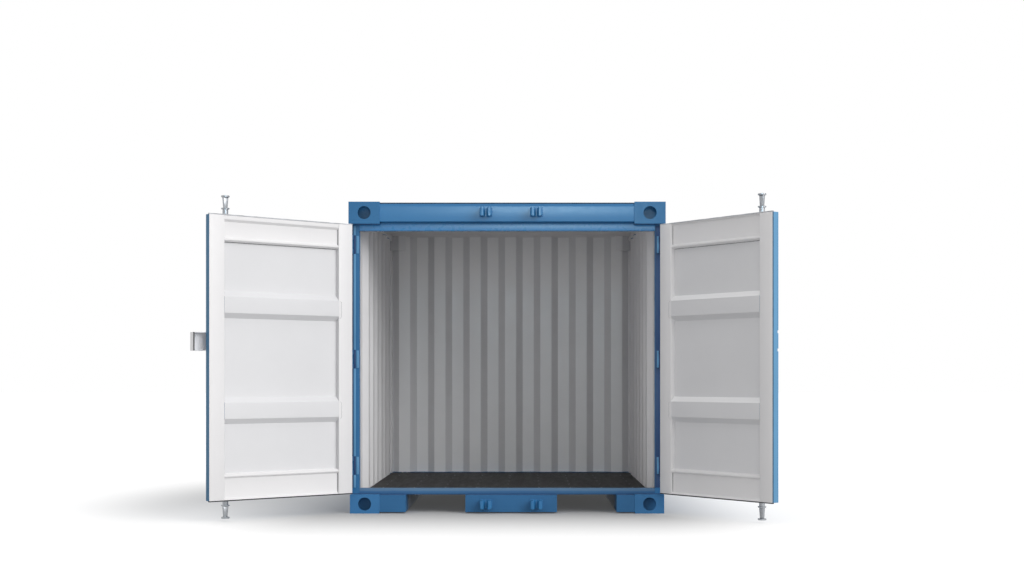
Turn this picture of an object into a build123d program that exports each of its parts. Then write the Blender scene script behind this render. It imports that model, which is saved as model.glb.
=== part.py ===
"""A six foot steel storage container with two hinged doors, their locking bars and fork pockets."""

import os

from build123d import *

# Outer size of the box, and the planes of its frame. The doors are on the front, towards -Y.
LENGTH = 1980.0
WIDTH = 1950.0
HEIGHT = 1917.0
FRONT = -LENGTH / 2
REAR = LENGTH / 2
TOP_SETBACK = 6.0
FACE_SETBACK = 2.0
SIDE_SETBACK = 9.0
GROUND_CLEARANCE = 8.0
FRAME_TOP = HEIGHT - TOP_SETBACK
FRAME_SIDE = WIDTH / 2 - SIDE_SETBACK
FRAME_FRONT = FRONT + FACE_SETBACK
FRAME_REAR = REAR - FACE_SETBACK
TUBE_WALL = 4.0
SHEET = 2.0

# The locking gear and the fork pockets stand this far to the right of the middle.
GEAR_OFFSET = 25.0

# Corner castings.
CASTING_DEPTH = 110.0
CASTING_WALL = 14.0
TOP_CASTING_WIDTH = 192.0
TOP_CASTING_HEIGHT = 135.0
BOTTOM_CASTING_WIDTH = 180.0
BOTTOM_CASTING_HEIGHT = 116.0
FACE_HOLE_RADIUS = 40.0
LOCK_HOLE_RADIUS = 32.0
CASTING_BACK = FRONT + CASTING_DEPTH
TOP_CASTING_UNDERSIDE = HEIGHT - TOP_CASTING_HEIGHT
TOP_CASTING_INNER = WIDTH / 2 - TOP_CASTING_WIDTH
BOTTOM_CASTING_INNER = FRAME_SIDE - BOTTOM_CASTING_WIDTH

# Doorway: the posts, header and sill stand back from the front so that the doors close on them.
POST_WIDTH = 51.5
DOORWAY_SIDE = FRAME_SIDE - POST_WIDTH
HEADER_FACE = 117.0
HEADER_FOOT = FRAME_TOP - HEADER_FACE
HEADER_BAND = 38.0
DOORWAY_TOP = TOP_CASTING_UNDERSIDE - HEADER_BAND
DOOR_THICKNESS = 43.0
DOOR_SETBACK = 11.0
STOP_GAP = 8.0
DOOR_OUTER = FRONT + DOOR_SETBACK
DOOR_INNER = DOOR_OUTER + DOOR_THICKNESS
STOP_FACE = DOOR_INNER + STOP_GAP

# Base frame and floor.
BASE_SETBACK = 4.0
BASE_TOP = BOTTOM_CASTING_HEIGHT - BASE_SETBACK
SILL_BAND = 39.0
DOORWAY_SILL = BASE_TOP + SILL_BAND
FLOOR_THICKNESS = 19.0
FLOOR_TOP = BASE_TOP + FLOOR_THICKNESS
BOTTOM_RAIL_WIDTH = 90.0
FLOOR_WALL_GAP = 2.0
POCKET_WIDTH = 367.0
SIDE_BLOCK_WIDTH = 137.0
POCKET_OUTER = BOTTOM_CASTING_INNER - SIDE_BLOCK_WIDTH
POCKET_INNER = POCKET_OUTER - POCKET_WIDTH
CROSSMEMBER_COUNT = 5
CROSSMEMBER_PITCH = -2 * CASTING_BACK / (CROSSMEMBER_COUNT + 1)
CROSSMEMBER_HEIGHT = 70.0
CROSSMEMBER_FLANGE = 40.0

# Corrugated walls and roof.
WALL_DEPTH = 34.0
WALL_INNER = DOORWAY_SIDE - WALL_DEPTH
WALL_LENGTH = -2 * CASTING_BACK
SIDE_SLOPE = 58.0
SIDE_FRONT_FLAT = 108.0
SIDE_REAR_FLAT = 98.0
SIDE_RIDGES = 6
REAR_WALL_SETBACK = 85.0
REAR_WALL_FACE = REAR - REAR_WALL_SETBACK
REAR_SLOPE = 46.0
REAR_END_FLAT = 2.0
REAR_RIDGES = 7
REAR_SILL_RISE = 21.0
ROOF_HEIGHT = 18.0
ROOF_SLOPE = 30.0
ROOF_END_FLAT = 40.0
ROOF_RIDGES = 8
ROOF_EDGE = 10.0
ROOF_UNDERSIDE = FRAME_TOP - ROOF_HEIGHT - SHEET
TOP_RAIL_HEIGHT = 40.0
TOP_RAIL_INNER = WALL_INNER - TUBE_WALL

# Door leaves.
PIN_SETBACK = 13.0
PIN_X = WIDTH / 2 - PIN_SETBACK
PIN_Y = DOOR_OUTER
LEAF_PIN_GAP = 15.0
MEETING_GAP = 10.0
MEETING_OFFSET = 20.0
LEAF_CLEARANCE = 6.0
GASKET_LIP = 6.0
GASKET_WIDTH = 14.0
LEAF_EDGE = PIN_X - LEAF_PIN_GAP
LEFT_FREE = MEETING_OFFSET - MEETING_GAP / 2
RIGHT_FREE = MEETING_OFFSET + MEETING_GAP / 2
LEAF_TOP = TOP_CASTING_UNDERSIDE - LEAF_CLEARANCE - GASKET_LIP
LEAF_BOTTOM = BOTTOM_CASTING_HEIGHT + LEAF_CLEARANCE + GASKET_LIP
LEAF_MIDDLE = (LEAF_TOP + LEAF_BOTTOM) / 2
STILE_WIDTH = 97.0
RAIL_HEIGHT = 152.0
RAIL_SETBACK = 16.0
LIP_SETBACK = 3.0
LIP_FACE = 24.0
LIP_SLOPE = 13.0
BEAD_FACE = 8.0
BEAD_SLOPE = 9.0
DOOR_TUBE_WALL = 3.0
PANEL_RECESS = 30.0
RIB_FACE = 94.0
RIB_SLOPE = 30.0
RIB_SHARE = 0.457
LEFT_OPEN_ANGLE = 140.6
RIGHT_OPEN_ANGLE = 127.8

# Hinges.
HINGE_FOOT = 163.0
HINGE_HEAD = 112.0
HINGE_HEIGHTS = (LEAF_BOTTOM + HINGE_FOOT, LEAF_MIDDLE, LEAF_TOP - HINGE_HEAD)
HINGE_HEIGHT = 113.0
LUG_HEIGHT = 26.0
KNUCKLE_RADIUS = 11.0
KNUCKLE_GAP = 1.5
PIN_RADIUS = 6.0
PIN_CLEARANCE = 0.6
BLADE_LENGTH = 120.0
BLADE_THICKNESS = 8.0

# Locking bars, their guides, keepers and handles.
BAR_SPACING = 310.0
LEFT_BAR = GEAR_OFFSET - BAR_SPACING / 2
RIGHT_BAR = GEAR_OFFSET + BAR_SPACING / 2
BAR_STANDOFF = 40.0
BAR_Y = DOOR_OUTER - BAR_STANDOFF
BAR_RADIUS = 16.5
COLLAR_RADIUS = 24.5
COLLAR_HEIGHT = 8.0
FLANGE_HEIGHT = 10.0
KEY_LENGTH = 36.0
KEY_THICKNESS = 16.0
KEY_HEIGHT = 62.0
BAR_FOOT = 40.0
BAR_HEAD = 50.0
KEEPER_CLEARANCE = 5.0
KEEPER_WIDTH = 74.0
KEEPER_LIP = 10.0
KEEPER_CAVITY_RADIUS = 24.0
KEEPER_MOUTH = 24.0
HANDLE_RISE = 1.0
HANDLE_HEIGHT = LEAF_MIDDLE + HANDLE_RISE
GUIDE_FOOT = 90.0
GUIDE_OFFSET = 150.0
GUIDE_HEIGHTS = (
    LEAF_BOTTOM + GUIDE_FOOT,
    HANDLE_HEIGHT - GUIDE_OFFSET,
    HANDLE_HEIGHT + GUIDE_OFFSET,
    LEAF_TOP - GUIDE_FOOT,
)
GUIDE_WIDTH = 62.0
GUIDE_HEIGHT = 36.0
GUIDE_WALL = 6.0
GUIDE_CLEARANCE = 2.0
HANDLE_LENGTH = 300.0
HANDLE_DEPTH = 34.0
HANDLE_THICKNESS = 8.0
HUB_HEIGHT = 50.0
HUB_WALL = 6.0
CATCH_WIDTH = 30.0
CATCH_HEIGHT = 56.0
CATCH_INSET = 40.0
CATCH_CLEARANCE = 7.0

# Lock housing on the left leaf and the staple that it covers on the right leaf.
HOUSING_RISE = 93.0
HOUSING_HEIGHT = LEAF_MIDDLE + HOUSING_RISE
HOUSING_TALL = 107.0
HOUSING_OVERHANG = 72.0
HOUSING_BACK = 85.0
HOUSING_DEPTH = 52.0
HOUSING_WALL = 4.0
HOUSING_CLEARANCE = 6.0
STAPLE_INSET = 35.0
STAPLE_X = RIGHT_FREE + STAPLE_INSET
STAPLE_THICKNESS = 12.0
STAPLE_TALL = 44.0
STAPLE_REACH = 36.0
STAPLE_HOLE_RADIUS = 8.0


def block(x, y, z):
    """A plain box between the given limits on each axis."""
    spans = (x, y, z)
    centre = [(low + high) / 2 for low, high in spans]
    size = [high - low for low, high in spans]
    return Pos(*centre) * Box(*size)


def tube(x, y, z, along, wall=TUBE_WALL):
    """A box section with open ends along one axis."""
    inner = []
    for name, span in zip("xyz", (x, y, z)):
        inner.append(span if name == along else (span[0] + wall, span[1] - wall))
    return block(x, y, z) - block(*inner)


def prism(plane, points, start, end):
    """A straight bar whose section is the closed polygon of points on the plane."""
    section = make_face(plane.offset(start) * Polyline(*points, close=True))
    return extrude(section, amount=end - start, dir=plane.z_dir)


def upright(x, y, z, radius):
    """A vertical round bar."""
    return Pos(x, y, (z[0] + z[1]) / 2) * Cylinder(radius, z[1] - z[0])


def pair(piece):
    """A piece and its mirror image on the other side of the container."""
    return Compound(children=[piece, mirror(piece, about=Plane.YZ)])


def corrugation(span, ends, slope, ridges, depth):
    """Points of a folded sheet with even flats between its two end flats, as distance and depth."""
    flat = (span - ends[0] - ends[1] - 2 * ridges * slope) / (2 * ridges - 1)
    points = [(0.0, 0.0)]
    for ridge in range(ridges):
        start = ends[0] + 2 * ridge * (slope + flat)
        points.append((start, 0.0))
        points.append((start + slope, depth))
        points.append((start + slope + flat, depth))
        points.append((start + 2 * slope + flat, 0.0))
    points.append((span, 0.0))
    return points


def folded(points):
    """The closed outline of a sheet whose one side follows the points."""
    back = [(along, depth - SHEET) for along, depth in reversed(points)]
    return points + back


def save(name, shape):
    """Writes one node of the assembly."""
    export_step(shape, f"parts/{name}.step")


def casting(outer, width, z, hole_z, face):
    """A hollow corner casting on the right side, its face hole towards the front or rear."""
    x = (outer - width, outer)
    y = (FRONT, CASTING_BACK) if face < 0 else (-CASTING_BACK, REAR)
    wall = CASTING_WALL
    hollow = block(
        (x[0] + wall, x[1] - wall), (y[0] + wall, y[1] - wall), (z[0] + wall, z[1] - wall)
    )
    middle = ((x[0] + x[1]) / 2, (y[0] + y[1]) / 2, (z[0] + z[1]) / 2)
    face_y = y[0] if face < 0 else y[1]
    face_hole = Pos(middle[0], face_y, middle[2]) * Rot(90, 0, 0) * Cylinder(FACE_HOLE_RADIUS, 2 * wall)
    side_hole = Pos(x[1], middle[1], middle[2]) * Rot(0, 90, 0) * Cylinder(LOCK_HOLE_RADIUS, 2 * wall)
    lock_hole = Pos(middle[0], middle[1], hole_z) * Cylinder(LOCK_HOLE_RADIUS, 2 * wall)
    return block(x, y, z) - hollow - face_hole - side_hole - lock_hole


def make_castings():
    for name, face in (("front", -1), ("rear", 1)):
        top_z = (TOP_CASTING_UNDERSIDE, HEIGHT)
        top = casting(WIDTH / 2, TOP_CASTING_WIDTH, top_z, HEIGHT, face)
        save(f"{name}_top_castings", pair(top))
        bottom_z = (0.0, BOTTOM_CASTING_HEIGHT)
        bottom = casting(FRAME_SIDE, BOTTOM_CASTING_WIDTH, bottom_z, 0.0, face)
        save(f"{name}_bottom_castings", pair(bottom))


def make_posts():
    z = (BOTTOM_CASTING_HEIGHT, TOP_CASTING_UNDERSIDE)
    front = tube((DOORWAY_SIDE, FRAME_SIDE), (STOP_FACE, CASTING_BACK), z, "z")
    save("front_posts", pair(front))
    rear = tube((WALL_INNER, FRAME_SIDE), (-CASTING_BACK, FRAME_REAR), z, "z")
    save("rear_posts", pair(rear))


def ring(points, inner, half_length):
    """A hollow rail across the container, from its outer and inner outlines."""
    outer = prism(Plane.YZ, points, -half_length, half_length)
    return outer - prism(Plane.YZ, inner, -half_length, half_length)


def make_headers():
    wall = TUBE_WALL
    under = TOP_CASTING_UNDERSIDE
    outer = [
        (FRAME_FRONT, HEADER_FOOT), (FRAME_FRONT, FRAME_TOP), (CASTING_BACK, FRAME_TOP),
        (CASTING_BACK, DOORWAY_TOP), (STOP_FACE, DOORWAY_TOP), (STOP_FACE, HEADER_FOOT),
    ]
    inner = [
        (FRAME_FRONT + wall, HEADER_FOOT + wall), (FRAME_FRONT + wall, FRAME_TOP - wall),
        (CASTING_BACK - wall, FRAME_TOP - wall), (CASTING_BACK - wall, DOORWAY_TOP + wall),
        (STOP_FACE + wall, DOORWAY_TOP + wall), (STOP_FACE + wall, HEADER_FOOT + wall),
    ]
    header = ring(outer, inner, DOORWAY_SIDE)
    corner = block((TOP_CASTING_INNER, WIDTH), (FRONT, CASTING_BACK), (under, HEIGHT))
    header = header - corner - mirror(corner, about=Plane.YZ)
    save("front_header", header)
    start = -CASTING_BACK
    back = REAR_WALL_FACE + WALL_DEPTH + SHEET
    roof = ROOF_UNDERSIDE
    outer = [
        (start, roof), (back, roof), (back, under), (FRAME_REAR, under),
        (FRAME_REAR, FRAME_TOP), (start, FRAME_TOP),
    ]
    inner = [
        (start + wall, roof + wall), (back + wall, roof + wall), (back + wall, under + wall),
        (FRAME_REAR - wall, under + wall), (FRAME_REAR - wall, FRAME_TOP - wall),
        (start + wall, FRAME_TOP - wall),
    ]
    save("rear_header", ring(outer, inner, TOP_CASTING_INNER))


def sill(strip, block_y, open_y):
    """A sill strip with three hollow blocks below it, which leave the fork pockets open."""
    cut = block((BOTTOM_CASTING_INNER, WIDTH), (FRONT, REAR), (0.0, BOTTOM_CASTING_HEIGHT))
    shape = strip - cut - mirror(cut, about=Plane.YZ)
    wall = TUBE_WALL
    spans = (
        (-BOTTOM_CASTING_INNER, GEAR_OFFSET - POCKET_OUTER),
        (GEAR_OFFSET - POCKET_INNER, GEAR_OFFSET + POCKET_INNER),
        (GEAR_OFFSET + POCKET_OUTER, BOTTOM_CASTING_INNER),
    )
    z = (GROUND_CLEARANCE, BASE_TOP)
    for span in spans:
        shape = shape + block(span, block_y, z)
    for low, high in spans:
        shape = shape - block((low + wall, high - wall), open_y, (z[0] + wall, z[1] - wall))
    return shape


def make_sills():
    front_y = (FRAME_FRONT, CASTING_BACK)
    strip_z = (BASE_TOP, DOORWAY_SILL)
    strip = tube((-DOORWAY_SIDE, DOORWAY_SIDE), (STOP_FACE, CASTING_BACK), strip_z, "x")
    save("front_sill", sill(strip, front_y, (FRAME_FRONT + TUBE_WALL, CASTING_BACK)))
    rear_y = (-CASTING_BACK, FRAME_REAR)
    strip_z = (BASE_TOP, BASE_TOP + REAR_SILL_RISE)
    strip = tube((-WALL_INNER, WALL_INNER), rear_y, strip_z, "x")
    save("rear_sill", sill(strip, rear_y, (-CASTING_BACK, FRAME_REAR - TUBE_WALL)))


def make_rails():
    y = (CASTING_BACK, -CASTING_BACK)
    side = (TOP_RAIL_INNER, FRAME_SIDE)
    top = tube(side, y, (ROOF_UNDERSIDE - TOP_RAIL_HEIGHT, ROOF_UNDERSIDE), "y")
    top = top + block((FRAME_SIDE - ROOF_EDGE, FRAME_SIDE), y, (ROOF_UNDERSIDE, FRAME_TOP))
    save("top_side_rails", pair(top))
    side = (FRAME_SIDE - BOTTOM_RAIL_WIDTH, FRAME_SIDE)
    save("bottom_side_rails", pair(tube(side, y, (GROUND_CLEARANCE, BASE_TOP), "y")))


def make_side_walls():
    ends = (SIDE_FRONT_FLAT, SIDE_REAR_FLAT)
    points = corrugation(WALL_LENGTH, ends, SIDE_SLOPE, SIDE_RIDGES, WALL_DEPTH)
    outer = WALL_INNER + WALL_DEPTH
    outline = [(outer - depth, CASTING_BACK + along) for along, depth in folded(points)]
    wall = prism(Plane.XY, outline, BASE_TOP, ROOF_UNDERSIDE - TOP_RAIL_HEIGHT)
    save("right_side_wall", wall)
    save("left_side_wall", mirror(wall, about=Plane.YZ))


def make_rear_wall():
    ends = (REAR_END_FLAT, REAR_END_FLAT)
    points = corrugation(2 * WALL_INNER, ends, REAR_SLOPE, REAR_RIDGES, WALL_DEPTH)
    outer = REAR_WALL_FACE + WALL_DEPTH
    outline = [(along - WALL_INNER, outer - depth) for along, depth in folded(points)]
    wall = prism(Plane.XY, outline, BASE_TOP + REAR_SILL_RISE, ROOF_UNDERSIDE)
    corner = block((TOP_CASTING_INNER, WIDTH), (-CASTING_BACK, REAR), (TOP_CASTING_UNDERSIDE, HEIGHT))
    save("rear_wall", wall - corner - mirror(corner, about=Plane.YZ))


def make_roof():
    ends = (ROOF_END_FLAT, ROOF_END_FLAT)
    points = corrugation(WALL_LENGTH, ends, ROOF_SLOPE, ROOF_RIDGES, ROOF_HEIGHT)
    base = ROOF_UNDERSIDE + SHEET
    outline = [(CASTING_BACK + along, base + depth) for along, depth in folded(points)]
    edge = FRAME_SIDE - ROOF_EDGE
    save("roof_panel", prism(Plane.YZ, outline, -edge, edge))


def make_base():
    edge = WALL_INNER - FLOOR_WALL_GAP
    y = (CASTING_BACK, -CASTING_BACK)
    save("floor_panel", block((-edge, edge), y, (BASE_TOP, FLOOR_TOP)))
    reach = (POCKET_INNER + POCKET_OUTER) / 2
    tunnels = [fork_pocket(x, y) for x in (GEAR_OFFSET - reach, GEAR_OFFSET + reach)]
    save("fork_pockets", Compound(children=tunnels))
    save("floor_crossmembers", Compound(children=crossmembers()))


def fork_pocket(x, y):
    """A tunnel for a fork tine about the given middle, open below and at both ends."""
    half = POCKET_WIDTH / 2
    z = (GROUND_CLEARANCE, BASE_TOP)
    outside = block((x - half - TUBE_WALL, x + half + TUBE_WALL), y, z)
    return outside - block((x - half, x + half), y, (z[0], z[1] - TUBE_WALL))


def crossmembers():
    """Channels under the floor, in three lengths between the rails and the fork pockets."""
    rail = FRAME_SIDE - BOTTOM_RAIL_WIDTH
    near = POCKET_INNER - TUBE_WALL
    far = POCKET_OUTER + TUBE_WALL
    middle = GEAR_OFFSET
    spans = ((-rail, middle - far), (middle - near, middle + near), (middle + far, rail))
    z = (BASE_TOP - CROSSMEMBER_HEIGHT, BASE_TOP)
    channels = []
    for row in range(CROSSMEMBER_COUNT):
        start = (row - (CROSSMEMBER_COUNT - 1) / 2) * CROSSMEMBER_PITCH - CROSSMEMBER_FLANGE / 2
        y = (start, start + CROSSMEMBER_FLANGE)
        hollow_y = (start + TUBE_WALL, y[1])
        hollow_z = (z[0] + TUBE_WALL, z[1] - TUBE_WALL)
        for x in spans:
            channels.append(block(x, y, z) - block(x, hollow_y, hollow_z))
    return channels


def keeper(bar, z):
    """A keeper for one bar, with a cavity and a narrow mouth for the bar's key."""
    half = KEEPER_WIDTH / 2
    front = BAR_Y - KEEPER_CAVITY_RADIUS - KEEPER_LIP
    shape = block((bar - half, bar + half), (front, FRAME_FRONT), z)
    shape = shape - upright(bar, BAR_Y, z, KEEPER_CAVITY_RADIUS)
    mouth = KEEPER_MOUTH / 2
    return shape - block((bar - mouth, bar + mouth), (front, BAR_Y), z)


def bar_ends():
    """Heights where the bar's two keys begin and end, below and above the leaf."""
    low = LEAF_BOTTOM - BAR_FOOT
    high = LEAF_TOP + BAR_HEAD
    return (low - KEY_HEIGHT, low), (high, high + KEY_HEIGHT)


def make_keepers():
    bottom, top = bar_ends()
    for name, key_z in (("sill_keepers", bottom), ("header_keepers", top)):
        z = (key_z[0] + KEEPER_CLEARANCE, key_z[1] - KEEPER_CLEARANCE)
        save(name, Compound(children=[keeper(bar, z) for bar in (LEFT_BAR, RIGHT_BAR)]))


def hinge_bracket(z):
    """Two lugs on the right front post with the pin that joins them."""
    x = (PIN_X - KNUCKLE_RADIUS, PIN_X + KNUCKLE_RADIUS)
    low = (z - HINGE_HEIGHT / 2, z - HINGE_HEIGHT / 2 + LUG_HEIGHT)
    high = (z + HINGE_HEIGHT / 2 - LUG_HEIGHT, z + HINGE_HEIGHT / 2)
    shape = upright(PIN_X, PIN_Y, (low[0], high[1]), PIN_RADIUS)
    for lug_z in (low, high):
        shape = shape + upright(PIN_X, PIN_Y, lug_z, KNUCKLE_RADIUS)
        shape = shape + block((x[0], FRAME_SIDE), (PIN_Y, STOP_FACE), lug_z)
    return shape


def make_hinge_brackets():
    brackets = Compound(children=[hinge_bracket(z) for z in HINGE_HEIGHTS])
    save("right_hinge_brackets", brackets)
    save("left_hinge_brackets", mirror(brackets, about=Plane.YZ))


def hinge_blade(z):
    """A strap on the outside of the right leaf with the knuckle that turns on the pin."""
    half = HINGE_HEIGHT / 2 - LUG_HEIGHT - KNUCKLE_GAP
    span = (z - half, z + half)
    shape = block((LEAF_EDGE - BLADE_LENGTH, PIN_X), (DOOR_OUTER - BLADE_THICKNESS, DOOR_OUTER), span)
    shape = shape + upright(PIN_X, PIN_Y, span, KNUCKLE_RADIUS)
    return shape - upright(PIN_X, PIN_Y, span, PIN_RADIUS + PIN_CLEARANCE)


def leaf_stiles(free):
    """The two upright tubes of a leaf whose free edge is the given distance from the middle."""
    y = (DOOR_OUTER, DOOR_INNER)
    z = (LEAF_BOTTOM, LEAF_TOP)
    meeting = tube((free, free + STILE_WIDTH), y, z, "z", DOOR_TUBE_WALL)
    hinge = tube((LEAF_EDGE - STILE_WIDTH, LEAF_EDGE), y, z, "z", DOOR_TUBE_WALL)
    return Compound(children=[meeting, hinge])


def leaf_rail(free, edge, side):
    """A tube along the leaf's top or bottom edge, with a lip on that edge and a bead beside the sheet."""
    x = (free + STILE_WIDTH, LEAF_EDGE - STILE_WIDTH)
    face = DOOR_INNER - RAIL_SETBACK
    crest = DOOR_INNER - LIP_SETBACK
    inner_edge = edge + side * RAIL_HEIGHT
    shape = tube(x, (DOOR_OUTER, face), sorted((edge, inner_edge)), "x", DOOR_TUBE_WALL)
    lip = [
        (face, edge), (crest, edge),
        (crest, edge + side * LIP_FACE), (face, edge + side * (LIP_FACE + LIP_SLOPE)),
    ]
    bead = [
        (face, inner_edge), (crest, inner_edge - side * BEAD_SLOPE),
        (crest, inner_edge - side * (BEAD_SLOPE + BEAD_FACE)),
        (face, inner_edge - side * (2 * BEAD_SLOPE + BEAD_FACE)),
    ]
    for points in (lip, bead):
        shape = shape + prism(Plane.YZ, points, *x)
    return shape


def leaf_rails(free):
    return Compound(children=[leaf_rail(free, LEAF_BOTTOM, 1), leaf_rail(free, LEAF_TOP, -1)])


def leaf_panel(free):
    """The folded sheet between the stiles, with two ribs that rise to the inner face."""
    low = LEAF_BOTTOM + RAIL_HEIGHT
    high = LEAF_TOP - RAIL_HEIGHT
    spacing = (high - low) * RIB_SHARE
    points = [(low, 0.0)]
    for centre in (LEAF_MIDDLE - spacing / 2, LEAF_MIDDLE + spacing / 2):
        for side in (-1, 1):
            foot = (centre + side * (RIB_FACE / 2 + RIB_SLOPE), 0.0)
            head = (centre + side * RIB_FACE / 2, PANEL_RECESS)
            points.extend((foot, head) if side < 0 else (head, foot))
    points.append((high, 0.0))
    face = DOOR_INNER - PANEL_RECESS
    outline = [(face + depth, along) for along, depth in folded(points)]
    return prism(Plane.YZ, outline, free + STILE_WIDTH, LEAF_EDGE - STILE_WIDTH)


def leaf_gasket(free):
    x = (free, LEAF_EDGE)
    y = (DOOR_INNER - GASKET_WIDTH, DOOR_INNER)
    bottom = block(x, y, (LEAF_BOTTOM - GASKET_LIP, LEAF_BOTTOM))
    top = block(x, y, (LEAF_TOP, LEAF_TOP + GASKET_LIP))
    return Compound(children=[bottom, top])


def bar_guide(bar, z):
    """A clamp that carries the bar, from the leaf's rails or from its sheet."""
    on_rail = z < LEAF_BOTTOM + RAIL_HEIGHT or z > LEAF_TOP - RAIL_HEIGHT
    base = DOOR_OUTER if on_rail else DOOR_INNER - PANEL_RECESS - SHEET
    bore = BAR_RADIUS + GUIDE_CLEARANCE
    x = (bar - GUIDE_WIDTH / 2, bar + GUIDE_WIDTH / 2)
    span = (z - GUIDE_HEIGHT / 2, z + GUIDE_HEIGHT / 2)
    shape = block(x, (BAR_Y - bore - GUIDE_WALL, base), span)
    return shape - upright(bar, BAR_Y, span, bore)


def handle_catch(bar):
    """A rest on the leaf's sheet behind the end of the handle."""
    end = bar + HANDLE_LENGTH - CATCH_INSET
    face = BAR_Y + HANDLE_THICKNESS / 2 + CATCH_CLEARANCE
    z = (HANDLE_HEIGHT - CATCH_HEIGHT / 2, HANDLE_HEIGHT + CATCH_HEIGHT / 2)
    return block((end - CATCH_WIDTH, end), (face, DOOR_INNER - PANEL_RECESS - SHEET), z)


def lock_bar(bar):
    """The round bar with a key, a collar and a flange at each end, and a ring on its lowest guide."""
    bottom, top = bar_ends()
    shape = upright(bar, BAR_Y, (bottom[1], top[0]), BAR_RADIUS)
    for key_z in (bottom, top):
        x = (bar - KEY_LENGTH / 2, bar + KEY_LENGTH / 2)
        y = (BAR_Y - KEY_THICKNESS / 2, BAR_Y + KEY_THICKNESS / 2)
        shape = shape + block(x, y, key_z)
    shape = shape + upright(bar, BAR_Y, (bottom[1], bottom[1] + COLLAR_HEIGHT), COLLAR_RADIUS)
    shape = shape + upright(bar, BAR_Y, (bottom[0] - FLANGE_HEIGHT, bottom[0]), COLLAR_RADIUS)
    shape = shape + upright(bar, BAR_Y, (top[0] - COLLAR_HEIGHT, top[0]), COLLAR_RADIUS)
    shape = shape + upright(bar, BAR_Y, (top[1], top[1] + FLANGE_HEIGHT), COLLAR_RADIUS)
    seat = GUIDE_HEIGHTS[0] + GUIDE_HEIGHT / 2
    return shape + upright(bar, BAR_Y, (seat, seat + COLLAR_HEIGHT), COLLAR_RADIUS)


def lock_handle(bar):
    """A lever that lies along the leaf, on a hub around the bar."""
    span = (HANDLE_HEIGHT - HUB_HEIGHT / 2, HANDLE_HEIGHT + HUB_HEIGHT / 2)
    z = (HANDLE_HEIGHT - HANDLE_DEPTH / 2, HANDLE_HEIGHT + HANDLE_DEPTH / 2)
    y = (BAR_Y - HANDLE_THICKNESS / 2, BAR_Y + HANDLE_THICKNESS / 2)
    shape = upright(bar, BAR_Y, span, BAR_RADIUS + HUB_WALL)
    shape = shape + block((bar, bar + HANDLE_LENGTH), y, z)
    return shape - upright(bar, BAR_Y, span, BAR_RADIUS)


def lock_housing():
    """A cover on the left leaf, open behind and below, that passes in front of the right leaf."""
    x = (LEFT_FREE - HOUSING_BACK, LEFT_FREE + HOUSING_OVERHANG)
    y = (DOOR_OUTER - HOUSING_DEPTH, DOOR_OUTER)
    z = (HOUSING_HEIGHT - HOUSING_TALL / 2, HOUSING_HEIGHT + HOUSING_TALL / 2)
    wall = HOUSING_WALL
    inside = block((x[0] + wall, x[1] - wall), (y[0] + wall, y[1]), (z[0] + wall, z[1] - wall))
    gap = block((LEFT_FREE, x[1]), (y[1] - HOUSING_CLEARANCE, y[1]), z)
    hatch = block((LEFT_FREE, x[1] - wall), (y[0] + wall, y[1]), (z[0], z[0] + wall))
    return block(x, y, z) - inside - gap - hatch


def lock_staple():
    """A holed plate on the right leaf, inside the housing when both leaves are closed."""
    x = (STAPLE_X - STAPLE_THICKNESS / 2, STAPLE_X + STAPLE_THICKNESS / 2)
    z = (HOUSING_HEIGHT - STAPLE_TALL / 2, HOUSING_HEIGHT + STAPLE_TALL / 2)
    plate = block(x, (DOOR_OUTER - STAPLE_REACH, DOOR_OUTER), z)
    hole_y = DOOR_OUTER - STAPLE_REACH / 2
    hole = Pos(STAPLE_X, hole_y, HOUSING_HEIGHT) * Rot(0, 90, 0)
    return plate - hole * Cylinder(STAPLE_HOLE_RADIUS, 2 * STAPLE_THICKNESS)


def leaf_gear(free, bar):
    """The pieces of one leaf, closed and on the right side, by their names."""
    guides = [bar_guide(bar, z) for z in GUIDE_HEIGHTS] + [handle_catch(bar)]
    return {
        "door_stiles": leaf_stiles(free),
        "door_rails": leaf_rails(free),
        "door_panel": leaf_panel(free),
        "door_gasket": leaf_gasket(free),
        "hinge_blades": Compound(children=[hinge_blade(z) for z in HINGE_HEIGHTS]),
        "bar_guides": Compound(children=guides),
        "lock_bar": lock_bar(bar),
        "lock_handle": lock_handle(bar),
    }


def make_doors():
    """Both leaves with their gear, built closed and then swung open on their pins."""
    right_pin = Axis((PIN_X, PIN_Y, 0), (0, 0, 1))
    left_pin = Axis((-PIN_X, PIN_Y, 0), (0, 0, 1))
    for name, shape in leaf_gear(RIGHT_FREE, RIGHT_BAR).items():
        save(f"right_{name}", shape.rotate(right_pin, RIGHT_OPEN_ANGLE))
    for name, shape in leaf_gear(-LEFT_FREE, -LEFT_BAR).items():
        left = mirror(shape, about=Plane.YZ)
        save(f"left_{name}", left.rotate(left_pin, -LEFT_OPEN_ANGLE))
    save("left_lock_housing", lock_housing().rotate(left_pin, -LEFT_OPEN_ANGLE))
    save("right_lock_staple", lock_staple().rotate(right_pin, RIGHT_OPEN_ANGLE))


def main():
    os.makedirs("parts", exist_ok=True)
    make_castings()
    make_posts()
    make_headers()
    make_sills()
    make_rails()
    make_side_walls()
    make_rear_wall()
    make_roof()
    make_base()
    make_keepers()
    make_hinge_brackets()
    make_doors()


main()
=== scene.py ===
import math

import bmesh
import bpy
from mathutils import Matrix, Vector, noise


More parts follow.
